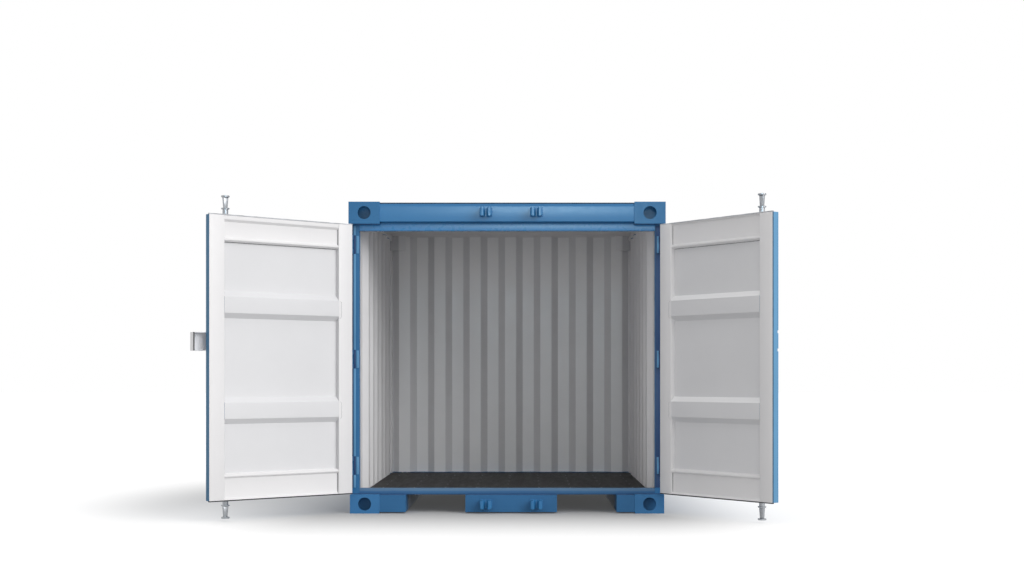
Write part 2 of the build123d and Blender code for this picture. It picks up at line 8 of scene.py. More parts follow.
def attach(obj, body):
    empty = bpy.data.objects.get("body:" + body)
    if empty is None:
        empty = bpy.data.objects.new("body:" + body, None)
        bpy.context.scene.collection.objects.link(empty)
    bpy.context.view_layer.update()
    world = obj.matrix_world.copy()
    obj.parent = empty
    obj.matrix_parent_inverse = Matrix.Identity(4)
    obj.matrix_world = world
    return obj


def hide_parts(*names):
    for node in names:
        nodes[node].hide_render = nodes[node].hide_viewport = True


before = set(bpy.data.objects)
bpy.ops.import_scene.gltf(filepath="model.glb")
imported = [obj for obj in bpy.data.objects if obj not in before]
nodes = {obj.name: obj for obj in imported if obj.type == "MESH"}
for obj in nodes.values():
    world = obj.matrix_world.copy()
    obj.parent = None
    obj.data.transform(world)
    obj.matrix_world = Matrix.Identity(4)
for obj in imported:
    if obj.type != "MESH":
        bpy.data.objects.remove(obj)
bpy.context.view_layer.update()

scene = bpy.context.scene
scene.view_settings.view_transform = "Standard"

# Sizes in metres, as in the part's own source: frame, walls and floor.
FRONT_FACE, FRAME_SIDE = -0.988, 0.966
CASTING_BACK, STOP_FACE = -0.880, -0.928
TOP_INNER, BOTTOM_INNER = 0.783, 0.786
TOP_UNDERSIDE, BOTTOM_TOP = 1.782, 0.116
HEADER_FOOT, FRAME_TOP, DOORWAY_TOP = 1.794, 1.911, 1.744
BASE_TOP, DOORWAY_SILL, FLOOR_TOP = 0.112, 0.151, 0.131
SILL_BLOCKS = ((-BOTTOM_INNER, -0.624), (-0.257, 0.307), (0.674, BOTTOM_INNER))
DOORWAY_SIDE, WALL_RIDGE, WALL_DEPTH, SHEET = 0.9145, 0.8805, 0.034, 0.002
RAIL_FOOT, ROOF_UNDER, ROOF_EDGE = 1.851, 1.891, FRAME_SIDE - 0.010
REAR_RIDGE, REAR_SILL_TOP = 0.905, 0.133
HOLD_LONG = -2 * CASTING_BACK

# Door leaves, hinges and locking bars. A leaf has its free edge, its bar's place and its opening in degrees.
PIN_X, PIN_Y, LEAF_EDGE = 0.962, -0.979, 0.947
LEAF_LOW, LEAF_HIGH, DOOR_OUTER, DOOR_INNER = 0.128, 1.770, -0.979, -0.936
STILE, RAIL, PANEL_FACE = 0.097, 0.152, -0.966
PANEL_LOW, PANEL_HIGH, PANEL_MIDDLE = LEAF_LOW + RAIL, LEAF_HIGH - RAIL, PANEL_FACE - SHEET / 2
RIB_TOP, RIB_FOOT, RIB_DEPTH = 0.047, 0.077, 0.030
RIB_SPACING = (PANEL_HIGH - PANEL_LOW) * 0.457
RIBS = [(LEAF_LOW + LEAF_HIGH + way * RIB_SPACING) / 2 for way in (-1, 1)]
BAR_Y = -1.019
BAR_KEYS = ((0.026, 0.088), (1.820, 1.882))
HINGES, HINGE_HALF, HINGE_LUG = (0.291, 0.949, 1.658), 0.0565, 0.026
GUIDES = (0.218, 0.800, 1.100, 1.680)
LEAVES = {"right": (0.025, 0.180, 127.8), "left": (-0.015, 0.130, 140.6)}

# Keepers on sill and header: the places of the bars, the feet of the keepers and their shape in plan.
BARS = (-0.130, 0.180)
KEEPER_FEET, KEEPER_TALL = {"sill_keepers": 0.031, "header_keepers": 1.825}, 0.052
KEEPER_FRONT, KEEPER_HALF, CAVITY, MOUTH = -1.053, 0.037, 0.024, 0.012


# Node trees.

class Nodes:
    """A node tree, put together node by node."""

    def __init__(self, tree, place):
        self.tree = tree
        self.place = self.add("ShaderNodeTexCoord").outputs[place]

    def put(self, node, name, value):
        socket = node.inputs[name]
        if isinstance(value, bpy.types.NodeSocket):
            self.tree.links.new(value, socket)
        else:
            socket.default_value = value

    def add(self, kind, inputs=None, **settings):
        node = self.tree.nodes.new(kind)
        for key, value in settings.items():
            setattr(node, key, value)
        for key, value in (inputs or {}).items():
            self.put(node, key, value)
        return node

    def axes(self):
        return self.add("ShaderNodeSeparateXYZ", {0: self.place}).outputs

    def noise(self, scale, detail=3.0, rough=0.5, place=None):
        values = {"Vector": place or self.place, "Scale": scale, "Detail": detail, "Roughness": rough}
        return self.add("ShaderNodeTexNoise", values).outputs["Fac"]

    def cells(self, scale):
        return self.add("ShaderNodeTexVoronoi", {"Vector": self.place, "Scale": scale}).outputs["Color"]

    def spread(self, source, low, high, start=0.35, end=0.65, kind="LINEAR"):
        values = {"Value": source, "From Min": start, "From Max": end, "To Min": low, "To Max": high}
        return self.add("ShaderNodeMapRange", values, interpolation_type=kind).outputs["Result"]

    def math(self, operation, first, second=0.0):
        return self.add("ShaderNodeMath", {0: first, 1: second}, operation=operation).outputs[0]

    def length(self, parts):
        squares = [self.math("MULTIPLY", part, part) for part in parts]
        return self.math("SQRT", self.math("ADD", *squares))

    def mix(self, share, first, second):
        return self.add("ShaderNodeMix", {0: share, 6: first, 7: second}, data_type="RGBA").outputs[2]

    def bump(self, height, strength, distance, below=None):
        values = {"Height": height, "Strength": strength, "Distance": distance}
        if below:
            values["Normal"] = below
        return self.add("ShaderNodeBump", values).outputs["Normal"]


class Look(Nodes):
    """A procedural material."""

    def __init__(self, name, metal=0.0, level=0.5):
        self.material = bpy.data.materials.new(name)
        self.material.use_nodes = True
        super().__init__(self.material.node_tree, "Object")
        self.shader = self.tree.nodes["Principled BSDF"]
        self.put(self.shader, "Metallic", metal)
        self.put(self.shader, "Specular IOR Level", level)

    def finish(self, colour, rough, normal):
        self.put(self.shader, "Base Color", colour)
        self.put(self.shader, "Roughness", rough)
        self.put(self.shader, "Normal", normal)
        return self.material


# Camera, light and floor.

def make_camera():
    data = bpy.data.cameras.new("camera")
    data.sensor_width = 36.0
    data.lens = 51.05
    data.shift_x = -0.01455
    data.shift_y = 0.0885
    camera = bpy.data.objects.new("camera", data)
    camera.location = (0.1219, -9.9139, 0.8229)
    camera.rotation_euler = (math.radians(90), 0, 0)
    scene.collection.objects.link(camera)
    scene.camera = camera


def lamp(kind, name, location, target, power):
    data = bpy.data.lights.new(name, kind)
    data.energy = power
    light = bpy.data.objects.new(name, data)
    light.location = location
    light.rotation_euler = (Vector(target) - Vector(location)).to_track_quat("-Z", "Y").to_euler()
    scene.collection.objects.link(light)
    return light


def panel_lamp(name, location, target, power, size):
    light = lamp("AREA", name, location, target, power)
    light.data.shape = "RECTANGLE"
    light.data.size, light.data.size_y = size
    return light


def seen_directly(graph):
    """1 for rays that show the background as such: to the camera, in gloss and through glass."""
    path = graph.add("ShaderNodeLightPath").outputs
    shown = graph.math("MAXIMUM", path["Is Camera Ray"], path["Is Glossy Ray"])
    return graph.math("MAXIMUM", shown, path["Is Transmission Ray"])


def make_world():
    """Soft light that grows towards the zenith, and plain white where the background itself is seen."""
    world = bpy.data.worlds.new("studio")
    scene.world = world
    world.use_nodes = True
    graph = Nodes(world.node_tree, "Generated")
    light = graph.tree.nodes["Background"]
    graph.put(light, "Color", (1.0, 0.995, 0.99, 1))
    graph.put(light, "Strength", graph.spread(graph.axes()["Z"], 0.38, 1.08, 0.0, 1.0))
    white = graph.add("ShaderNodeBackground", {"Color": (1, 1, 1, 1), "Strength": 1.0})
    shares = {0: seen_directly(graph), 1: light.outputs[0], 2: white.outputs[0]}
    mix = graph.add("ShaderNodeMixShader", shares)
    graph.put(graph.tree.nodes["World Output"], "Surface", mix.outputs[0])


def floor_glow_with_painted_shade(graph):
    """How far the floor is lifted to white, with painted shade: least under the container and rising over
    about two metres around it, and less again in a soft painted shadow patch on its left.
    """
    axes = graph.axes()
    away, aside = [], []
    for axis, shift, edge, stretch in (("X", 0.12, 0.93, 1.85), ("Y", 0.0, 0.95, 1.0)):
        distance = graph.math("ABSOLUTE", graph.math("ADD", axes[axis], shift))
        outside = graph.math("MAXIMUM", graph.math("SUBTRACT", distance, edge), 0.0)
        away.append(graph.math("MULTIPLY", outside, stretch))
    for axis, shift, reach in (("X", 2.0, 1.0), ("Y", -0.3, 2.6)):
        aside.append(graph.math("DIVIDE", graph.math("ADD", axes[axis], shift), reach))
    # Painted shade: the lift is least under the container and grows away from it.
    lift = graph.spread(graph.length(away), 0.0, 0.63, -0.36, 1.75, "SMOOTHSTEP")
    # Painted shadow: a soft patch on the container's left where the lift is less.
    painted_shadow_patch = graph.spread(graph.length(aside), 0.36, 0.0, 0.0, 1.0, "SMOOTHSTEP")
    return graph.math("MAXIMUM", graph.math("SUBTRACT", lift, painted_shadow_patch), 0.0)


def make_floor():
    reach = 80.0
    mesh = bpy.data.meshes.new("studio_floor")
    corners = [(-reach, -reach, 0), (reach, -reach, 0), (reach, reach, 0), (-reach, reach, 0)]
    mesh.from_pydata(corners, [], [(0, 1, 2, 3)])
    floor = bpy.data.objects.new("studio_floor", mesh)
    scene.collection.objects.link(floor)
    look = Look("studio_floor", level=0.0)
    look.put(look.shader, "Base Color", (0.45, 0.45, 0.45, 1))
    look.put(look.shader, "Roughness", 0.9)
    look.put(look.shader, "Emission Color", (1, 1, 1, 1))
    # The floor glows only where it is seen directly, and less near the container as painted shade.
    glow = look.math("MULTIPLY", seen_directly(look), floor_glow_with_painted_shade(look))
    look.put(look.shader, "Emission Strength", glow)
    mesh.materials.append(look.material)


def make_lamps():
    """A broad sun, two boxes that give no diffuse light, and two fills that show in no gloss."""
    far_front = -13.0
    lamp("SUN", "key", (5.2, -4.6, 3.0), (0, 0, 0), 1.46).data.angle = math.radians(40)
    for name, across, power, width in (("front_box", 0.3, 185, 2.1), ("right_box", 1.75, 26, 1.6)):
        target = (0.6 * across, 0, 1.5)
        box = panel_lamp(name, (across, far_front, 3.2), target, power, (width, 1.3))
        box.data.color = (0.62, 0.88, 1.0)
        box.visible_diffuse = False
    front = panel_lamp("front_fill", (0.1, far_front, 1.5), (0, 0, 1.2), 95, (3.0, 2.0))
    front.visible_glossy = False
    rear = panel_lamp("rear_fill", (0.0, 5.0, 0.30), (0, 0, 0.06), 105, (3.2, 0.3))
    rear.visible_glossy = False
    rear.visible_camera = False


make_camera()
make_world()
make_floor()
make_lamps()


# Materials.

def srgb(red, green, blue):
    """A screen colour, 0 to 255, as the linear colour that shaders take."""
    out = []
    for value in (red, green, blue):
        share = value / 255
        out.append(share / 12.92 if share <= 0.04045 else ((share + 0.055) / 1.055) ** 2.4)
    return out


def shade(colour, factor=1.0):
    return (*[min(1.0, value * factor) for value in colour], 1.0)


BLUE = srgb(48, 110, 158)
EDGE_BLUE_LIT = srgb(74, 120, 154)
WHITE = srgb(231, 230, 231)
SKIN = 0.0035
HOLD = (
    (-DOORWAY_SIDE - 0.001, DOORWAY_SIDE + 0.001),
    (CASTING_BACK - 0.0005, REAR_RIDGE + WALL_DEPTH + 0.0015),
    (FLOOR_TOP - 0.001, ROOF_UNDER + 0.0015),
)


def paint_tones(look, colour, change):
    """Slow cloudy changes of tone, as sprayed paint has."""
    cloud = look.spread(look.noise(2.1, 4.0, 0.6), 0.0, 1.0)
    return look.mix(cloud, shade(colour, 1 - change), shade(colour, 1 + change))


def paint_surface(look, rough, wave, grain=0.10, uneven=0.06):
    """Roughness and relief of sprayed enamel on steel: orange peel and a faint dent here and there."""
    peel = look.bump(look.noise(430.0, 2.0), grain, 0.0006)
    relief = look.bump(look.noise(7.0, 2.0), wave, 0.004, peel)
    return look.spread(look.noise(26.0, 4.0), rough - uneven, rough + uneven), relief


def enamel(name, colour, rough, change=0.05, wave=0.10, level=0.5, grain=0.10, uneven=0.06):
    look = Look(name, level=level)
    surface = paint_surface(look, rough, wave, grain, uneven)
    return look.finish(paint_tones(look, colour, change), *surface)


def sill_enamel():
    """Blue sill whose strip is darker towards its foot as painted shade, with a painted highlight along its
    upper edge.
    """
    look = Look("sill_paint", level=0.25)
    height = look.axes()["Z"]
    low, high, painted_highlight = srgb(38, 80, 122), srgb(56, 102, 146), srgb(88, 122, 154)
    # Painted shade: the strip darkens from its upper part down to its foot.
    strip = look.mix(look.spread(height, 0.0, 1.0, 0.114, 0.128), shade(low), shade(high))
    # Painted highlight along the strip's upper edge, with a ragged border.
    ragged = look.math("ADD", height, look.math("MULTIPLY", look.noise(9.0, 5.0), 0.006))
    strip = look.mix(look.spread(ragged, 0.0, 1.0, 0.134, 0.141), strip, shade(painted_highlight))
    above = look.math("GREATER_THAN", height, BASE_TOP + 0.0005)
    tint = look.mix(above, paint_tones(look, srgb(46, 100, 146), 0.06), strip)
    return look.finish(tint, *paint_surface(look, 0.48, 0.10))


def pocket_enamel():
    """Fork tunnels: blue at both mouths, pale grey further in."""
    look = Look("pocket_paint", level=0.3)
    mouth = look.spread(look.math("ABSOLUTE", look.axes()["Y"]), 0.0, 1.0, 0.62, 0.84)
    inner_grey, blue = paint_tones(look, srgb(212, 220, 228), 0.03), paint_tones(look, srgb(46, 92, 134), 0.05)
    return look.finish(look.mix(mouth, inner_grey, blue), *paint_surface(look, 0.50, 0.10))


def two_tone(name, skin=False):
    """Blue outside and white on what faces into the hold; of a casting only the skin is white, and darker
    near its outer side as painted shade.
    """
    look = Look(name)
    axes = look.axes()
    inside = None
    for axis, (low, high) in zip(axes, HOLD):
        above = look.math("GREATER_THAN", axis, low)
        within = look.math("MULTIPLY", above, look.math("LESS_THAN", axis, high))
        inside = look.math("MULTIPLY", inside, within) if inside else within
    if skin:
        across = look.math("ABSOLUTE", axes["X"])
        front = look.math("LESS_THAN", axes["Y"], SKIN - CASTING_BACK)
        under = look.math("LESS_THAN", axes["Z"], TOP_UNDERSIDE + SKIN)
        beside = look.math("LESS_THAN", across, TOP_INNER + SKIN)
        near = look.math("MAXIMUM", look.math("MAXIMUM", front, under), beside)
        inside = look.math("MULTIPLY", inside, near)
        # Painted shade: towards the outer side the skin turns a darker grey, like the shaded first fold of
        # the wall beside it.
        corner = look.spread(across, 0.0, 1.0, 0.824, 0.838)
        white = look.mix(corner, paint_tones(look, srgb(238, 238, 240), 0.02), shade(srgb(200, 200, 203)))
    else:
        white = paint_tones(look, WHITE, 0.02)
    colour = look.mix(inside, paint_tones(look, BLUE, 0.05), white)
    return look.finish(colour, *paint_surface(look, 0.40, 0.08))


def galvanised(name, colour, rough, metal=0.65, vary=1.0):
    """Zinc coat with its crystals, each a little lighter or darker than the next."""
    look = Look(name, metal=metal)
    crystal = look.add("ShaderNodeSeparateColor", {0: look.cells(85.0)}).outputs[0]
    cloud = look.math("MULTIPLY", look.noise(9.0, 4.0), 0.5)
    tone = look.spread(look.math("ADD", look.math("MULTIPLY", crystal, 0.5), cloud), 0.0, 1.0, 0.2, 0.8)
    tint = look.mix(tone, shade(colour, 1 - 0.16 * vary), shade(colour, 1 + 0.10 * vary))
    dull = look.spread(crystal, rough - 0.08 * vary, rough + 0.10 * vary, 0.0, 1.0)
    return look.finish(tint, dull, look.bump(look.noise(240.0, 3.0), 0.12 * vary, 0.0008))


def floor_board():
    """Film-faced plywood with a fine wire-mesh pattern, scuffed in places."""
    look = Look("floor_board", level=0.16)
    waves = []
    for direction in ("X", "Y"):
        values = {"Vector": look.place, "Scale": 55.0, "Distortion": 0.0}
        wave = look.add("ShaderNodeTexWave", values, wave_type="BANDS", bands_direction=direction)
        waves.append(wave.outputs["Fac"])
    mesh = look.math("MAXIMUM", *waves)
    scuff = look.noise(3.2, 6.0, 0.65)
    streak = look.add("ShaderNodeMapping", {"Vector": look.place, "Scale": (9.0, 1.2, 1.0)}).outputs[0]
    drag = look.noise(4.0, 5.0, 0.7, streak)
    worn = look.math(
        "MULTIPLY", look.spread(scuff, 0.0, 1.0, 0.45, 0.75), look.spread(drag, 0.0, 1.0, 0.4, 0.7)
    )
    dark = look.mix(look.spread(scuff, 0.0, 1.0), shade(srgb(39, 36, 34)), shade(srgb(42, 39, 37)))
    tint = look.mix(worn, dark, shade(srgb(47, 44, 42)))
    relief = look.bump(mesh, 0.22, 0.0006, look.bump(look.noise(60.0, 3.0), 0.06, 0.001))
    return look.finish(tint, look.spread(drag, 0.47, 0.56), relief)


def rubber(name, colour):
    look = Look(name, level=0.35)
    cloud = look.spread(look.noise(14.0, 4.0), 0.0, 1.0)
    tint = look.mix(cloud, shade(colour, 0.8), shade(colour, 1.25))
    relief = look.bump(look.noise(300.0), 0.3, 0.0006)
    return look.finish(tint, look.spread(look.noise(40.0), 0.55, 0.75), relief)


# Paints: colour, roughness, change of tone, waves, gloss level, grain and unevenness.
blue_paint = enamel("blue_paint", BLUE, 0.36)
roof_paint = enamel("roof_paint", BLUE, 0.62, 0.06, 0.10, 0.08)
post_paint = enamel("post_paint", BLUE, 0.36, 0.03, 0.02, 0.3, 0.03, 0.02)
pocket_paint = pocket_enamel()
header_paint = enamel("header_paint", srgb(45, 113, 165), 0.25, 0.03, 0.01, 0.42, 0.02, 0.015)
# A lighter blue for the recessed band, as painted light against the header's shadow on it.
band_paint_lit = enamel("band_paint_lit", srgb(53, 131, 190), 0.28, 0.03, 0.01, 0.5, 0.02, 0.015)
top_cast_paint = enamel("top_cast_paint", srgb(45, 104, 151), 0.30, 0.05, 0.04, 0.25, 0.05, 0.03)
# Lighter blues as painted light: one for the leaves' edges, and the paler one for strips, pads and the right
# leaf's edges.
edge_paint_lit = enamel("edge_paint_lit", EDGE_BLUE_LIT, 0.40, 0.04, 0.05, 0.15)
pale_blue_lit = enamel("pale_blue_lit", srgb(102, 156, 196), 0.36, 0.03, 0.04, 0.25)
# Dark blue as painted shade, for beads and strips where shade lines fall.
shade_blue = enamel("shade_blue", srgb(48, 74, 114), 0.45, 0.05, 0.05, 0.3)
sill_paint = sill_enamel()
cast_paint = enamel("cast_paint", srgb(58, 115, 165), 0.50, 0.07, 0.22, 0.2)
white_paint = enamel("white_paint", WHITE, 0.42, 0.015, 0.06)
# Lit and shaded copies of the white, as painted light and shade.
lit_white = enamel("lit_white", srgb(243, 243, 244), 0.42, 0.012, 0.06)
shaded_white = enamel("shaded_white", srgb(224, 224, 226), 0.46, 0.015, 0.06)
# A darker copy of the white for the leaves' panels, as painted shade.
shaded_panel_white = enamel("shaded_panel_white", srgb(221, 221, 223), 0.42, 0.015, 0.06)
# A grey copy of the white, as painted shade beside the left hinge stile.
stile_shade_grey = enamel("stile_shade_grey", srgb(204, 204, 206), 0.50, 0.03, 0.06)
grey_paint = enamel("grey_paint", srgb(242, 242, 244), 0.38, 0.03, 0.08)
frame_paint = two_tone("frame_paint")
corner_paint = two_tone("corner_paint", True)
zinc = galvanised("galvanised", srgb(176, 179, 183), 0.40)
zinc_bright = galvanised("zinc_bright", srgb(160, 163, 167), 0.30, 0.85, 0.3)
board = floor_board()
seal_rubber = rubber("seal_rubber", srgb(34, 35, 38))
pale_seal = rubber("pale_seal", srgb(196, 198, 202))
# Dark rubber for a seal on the right leaf, also used as painted shade atop the header.
dark_seal_and_shade = rubber("dark_seal_and_shade", srgb(48, 68, 88))
# Grey for weld lines, also as painted shade at the panel's joints.
joint_and_shade_line = rubber("joint_and_shade_line", srgb(118, 119, 122))


# Mesh tools. An edge shades sharp where it turns by more degrees than these.

HEADER_EDGE, SHEET_EDGE, SMALL_EDGE, FOLD_EDGE, BEAD_EDGE = 20.0, 32.0, 35.0, 40.0, 60.0


def mesh_piece(name, mesh, looks, angle, new=False, body="container", matrix=None):
    """Closes a bmesh into a named piece that rides on a body; a new one stands for no node."""
    bmesh.ops.recalc_face_normals(mesh, faces=mesh.faces)
    if matrix:
        mesh.transform(matrix)
        if matrix.determinant() < 0:
            bmesh.ops.reverse_faces(mesh, faces=mesh.faces)
    data = bpy.data.meshes.new(name)
    mesh.to_mesh(data)
    mesh.free()
    for look in looks:
        data.materials.append(look)
    data.shade_smooth()
    data.set_sharp_from_angle(angle=math.radians(angle))
    piece = bpy.data.objects.new(name, data)
    scene.collection.objects.link(piece)
    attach(piece, body)
    if not new:
        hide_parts(name)


def paint_faces(faces, pick):
    for face in faces:
        face.material_index = pick(face.calc_center_median(), face.normal)


def always(mark):
    """A pick that gives every face the same look."""
    return lambda centre, normal: mark


def along_x(y, z, x):
    """Places a section in Y and Z that is swept along X."""
    return Vector((x, y, z))


def rounded_box(mesh, x, y, z, radius, segments=3, pick=None):
    """A box with rounded edges."""
    made = bmesh.ops.create_cube(mesh, size=1.0)["verts"]
    low = Vector((x[0], y[0], z[0]))
    size = Vector((x[1] - x[0], y[1] - y[0], z[1] - z[0]))
    for vert in made:
        vert.co = low + Vector([(value + 0.5) * length for value, length in zip(vert.co, size)])
    edges = {edge for vert in made for edge in vert.link_edges}
    result = bmesh.ops.bevel(
        mesh, geom=list(edges), offset=radius, segments=segments, profile=0.5, affect="EDGES"
    )
    faces = {face for vert in result["verts"] for face in vert.link_faces}
    for face in faces:
        face.normal_update()
    if pick:
        paint_faces(faces, pick)
    return faces


def fillet(points, radius, steps=4, closed=False):
    """The line of points with its corners rounded."""
    count = len(points)
    line = []
    for index in range(count):
        here = Vector(points[index])
        if not closed and index in (0, count - 1):
            line.append(here)
            continue
        before = Vector(points[index - 1]) - here
        after = Vector(points[(index + 1) % count]) - here
        turn = math.pi - before.angle(after)
        if turn < 0.02:
            line.append(here)
            continue
        reach = min(radius * math.tan(turn / 2), 0.48 * before.length, 0.48 * after.length)
        start, end = here + before.normalized() * reach, here + after.normalized() * reach
        for step in range(steps + 1):
            share = step / steps
            first, second = start.lerp(here, share), here.lerp(end, share)
            line.append(first.lerp(second, share))
    return line


def divided(line, longest):
    """The line with its long runs cut into shorter ones."""
    out = [line[0]]
    for point in line[1:]:
        start = out[-1]
        parts = max(1, math.ceil((point - start).length / longest))
        for part in range(1, parts + 1):
            out.append(start.lerp(point, part / parts))
    return out


def offset(line, distance):
    """A line beside an open line, at an even distance from it."""
    out = []
    for index, point in enumerate(line):
        before = line[max(0, index - 1)]
        after = line[min(len(line) - 1, index + 1)]
        run = (after - before).normalized()
        out.append(point + Vector((-run.y, run.x)) * distance)
    return out


def bridge(mesh, low, high, closed=True, mark=0):
    """The quads between two rows of points; closed rows are rings."""
    faces = []
    for index in range(len(low) if closed else len(low) - 1):
        other = (index + 1) % len(low)
        face = mesh.faces.new((low[index], low[other], high[other], high[index]))
        face.material_index = mark
        faces.append(face)
    return faces


def add_sheet(mesh, line, thick, rows, place, wave=0.0, seed=0.0, marks=(0, 1)):
    """A folded sheet of even thickness that follows a line, swept through the rows."""
    sides = (line, offset(line, -thick))
    grid = []
    for side in sides:
        layer = []
        for row in rows:
            ring = []
            for along, depth in side:
                swell = noise.noise(Vector((along * 3.1, row * 2.3, seed))) * wave
                ring.append(mesh.verts.new(place(along, depth + swell, row)))
            layer.append(ring)
        grid.append(layer)
    for mark, layer in zip(marks, grid):
        for low, high in zip(layer, layer[1:]):
            bridge(mesh, low, high, False, mark)
    front, back = grid
    for end in (0, -1):
        bridge(mesh, front[end], back[end], False, marks[1])
    for end in (0, -1):
        bridge(mesh, [ring[end] for ring in front], [ring[end] for ring in back], False, marks[1])


def add_bar(mesh, outline, start, end, place, pick=None):
    """A straight bar with the closed outline as its section."""
    ends = [[mesh.verts.new(place(a, b, c)) for a, b in outline] for c in (start, end)]
    faces = [mesh.faces.new(ring) for ring in ends] + bridge(mesh, *ends)
    bmesh.ops.recalc_face_normals(mesh, faces=faces)
    if pick:
        paint_faces(faces, pick)


def levels(low, high, count):
    return [low + (high - low) * step / count for step in range(count + 1)]


def corrugation(span, ends, slope, ridges, depth, bend, longest):
    """The line of a folded sheet: round bends, and even flats between its two end flats."""
    flat = (span - ends[0] - ends[1] - 2 * ridges * slope) / (2 * ridges - 1)
    points = [(0.0, 0.0)]
    for ridge in range(ridges):
        start = ends[0] + 2 * ridge * (slope + flat)
        points += [(start, 0.0), (start + slope, depth)]
        points += [(start + slope + flat, depth), (start + 2 * slope + flat, 0.0)]
    return divided(fillet(points + [(span, 0.0)], bend), longest)


# Walls and roof: folded sheets with round bends, white inside and blue outside.

WALL_BEND, ROOF_BEND, ROOF_DEPTH, DENT = 0.012, 0.016, 0.018, 0.0012
SIDE_LINE = corrugation(HOLD_LONG, (0.108, 0.098), 0.058, 6, WALL_DEPTH, WALL_BEND, 0.035)
REAR_LINE = corrugation(2 * WALL_RIDGE, (0.002, 0.002), 0.046, 7, WALL_DEPTH, WALL_BEND, 0.030)
ROOF_LINE = corrugation(HOLD_LONG, (0.040, 0.040), 0.030, 8, ROOF_DEPTH, ROOF_BEND, 0.045)


def side_wall(name, side):
    def place(along, depth, height):
        return Vector((side * (DOORWAY_SIDE - depth), CASTING_BACK + along, height))

    mesh = bmesh.new()
    add_sheet(mesh, SIDE_LINE, SHEET, levels(BASE_TOP, RAIL_FOOT, 28), place, DENT, seed=side * 7.3)
    mesh_piece(name, mesh, (white_paint, blue_paint), SHEET_EDGE)


def rear_wall():
    notch = WALL_RIDGE - TOP_INNER

    def place(along, depth, height):
        return Vector((along - WALL_RIDGE, REAR_RIDGE + WALL_DEPTH - depth, height))

    def part_of(low, high):
        inside = [point for point in REAR_LINE if low < point.x < high]
        depth = [min(REAR_LINE, key=lambda point: abs(point.x - edge)).y for edge in (low, high)]
        return [Vector((low, depth[0]))] + inside + [Vector((high, depth[1]))]

    mesh = bmesh.new()
    spans = ((0.0, notch, TOP_UNDERSIDE), (notch, 2 * WALL_RIDGE - notch, ROOF_UNDER),
             (2 * WALL_RIDGE - notch, 2 * WALL_RIDGE, TOP_UNDERSIDE))
    for low, high, top in spans:
        rows = [level for level in levels(REAR_SILL_TOP, ROOF_UNDER, 28) if level < top - 0.004] + [top]
        add_sheet(mesh, part_of(low, high), SHEET, rows, place, DENT, seed=2.9)
    # Painted light and shade: flats take the lighter white, slopes that face sideways the darker one.
    for face in mesh.faces:
        face.normal_update()
        if face.material_index == 0 and abs(face.normal.x) > 0.15:
            face.material_index = 2
    looks = (lit_white, blue_paint, shaded_white)
    mesh_piece("rear_wall", mesh, looks, SHEET_EDGE)


def roof():
    def place(along, depth, across):
        return Vector((across, CASTING_BACK + along, ROOF_UNDER + SHEET + depth))

    mesh = bmesh.new()
    add_sheet(mesh, ROOF_LINE, SHEET, levels(-ROOF_EDGE, ROOF_EDGE, 24), place, marks=(1, 0))
    mesh_piece("roof_panel", mesh, (white_paint, roof_paint), SHEET_EDGE)


side_wall("left_side_wall", -1)
side_wall("right_side_wall", 1)
rear_wall()
roof()


# Header with its folded front face.

def front_header():
    mesh = bmesh.new()
    crease, lean, lap, back = 1.888, 0.005, 0.02, STOP_FACE + 0.004
    proud = [(FRONT_FACE, HEADER_FOOT), (FRONT_FACE, crease), (FRONT_FACE + lean, FRAME_TOP),
             (CASTING_BACK, FRAME_TOP), (CASTING_BACK, HEADER_FOOT - lap), (back, HEADER_FOOT - lap),
             (back, HEADER_FOOT)]
    add_bar(mesh, fillet(proud, 0.005, 3, True), -TOP_INNER, TOP_INNER, along_x)
    # The recessed band takes the lighter blue, as painted light.
    for top, start, end in ((HEADER_FOOT, -TOP_INNER, TOP_INNER), (TOP_UNDERSIDE, -DOORWAY_SIDE, -TOP_INNER),
                            (TOP_UNDERSIDE, TOP_INNER, DOORWAY_SIDE)):
        band = [(STOP_FACE, DOORWAY_TOP), (STOP_FACE, top), (CASTING_BACK, top), (CASTING_BACK, DOORWAY_TOP)]
        add_bar(mesh, fillet(band, 0.004, 3, True), start, end, along_x, always(1))
    mesh_piece("front_header", mesh, (header_paint, band_paint_lit), HEADER_EDGE)


front_header()


# Door leaves: built closed on the right, then mirrored for the left and swung open.

def leaf_matrix(name):
    angle = math.radians(LEAVES[name][2])
    pin = Vector((PIN_X, PIN_Y, 0))
    swing = Matrix.Translation(pin) @ Matrix.Rotation(angle, 4, "Z") @ Matrix.Translation(-pin)
    return swing if name == "right" else Matrix.Scale(-1, 4, (1, 0, 0)) @ swing


def leaf_piece(leaf, part, mesh, looks, angle, new=False, body="leaf"):
    """A piece of a leaf or of its bar, brought to its place."""
    mesh_piece(f"{leaf}_{part}", mesh, looks, angle, new, f"{leaf}_{body}", leaf_matrix(leaf))


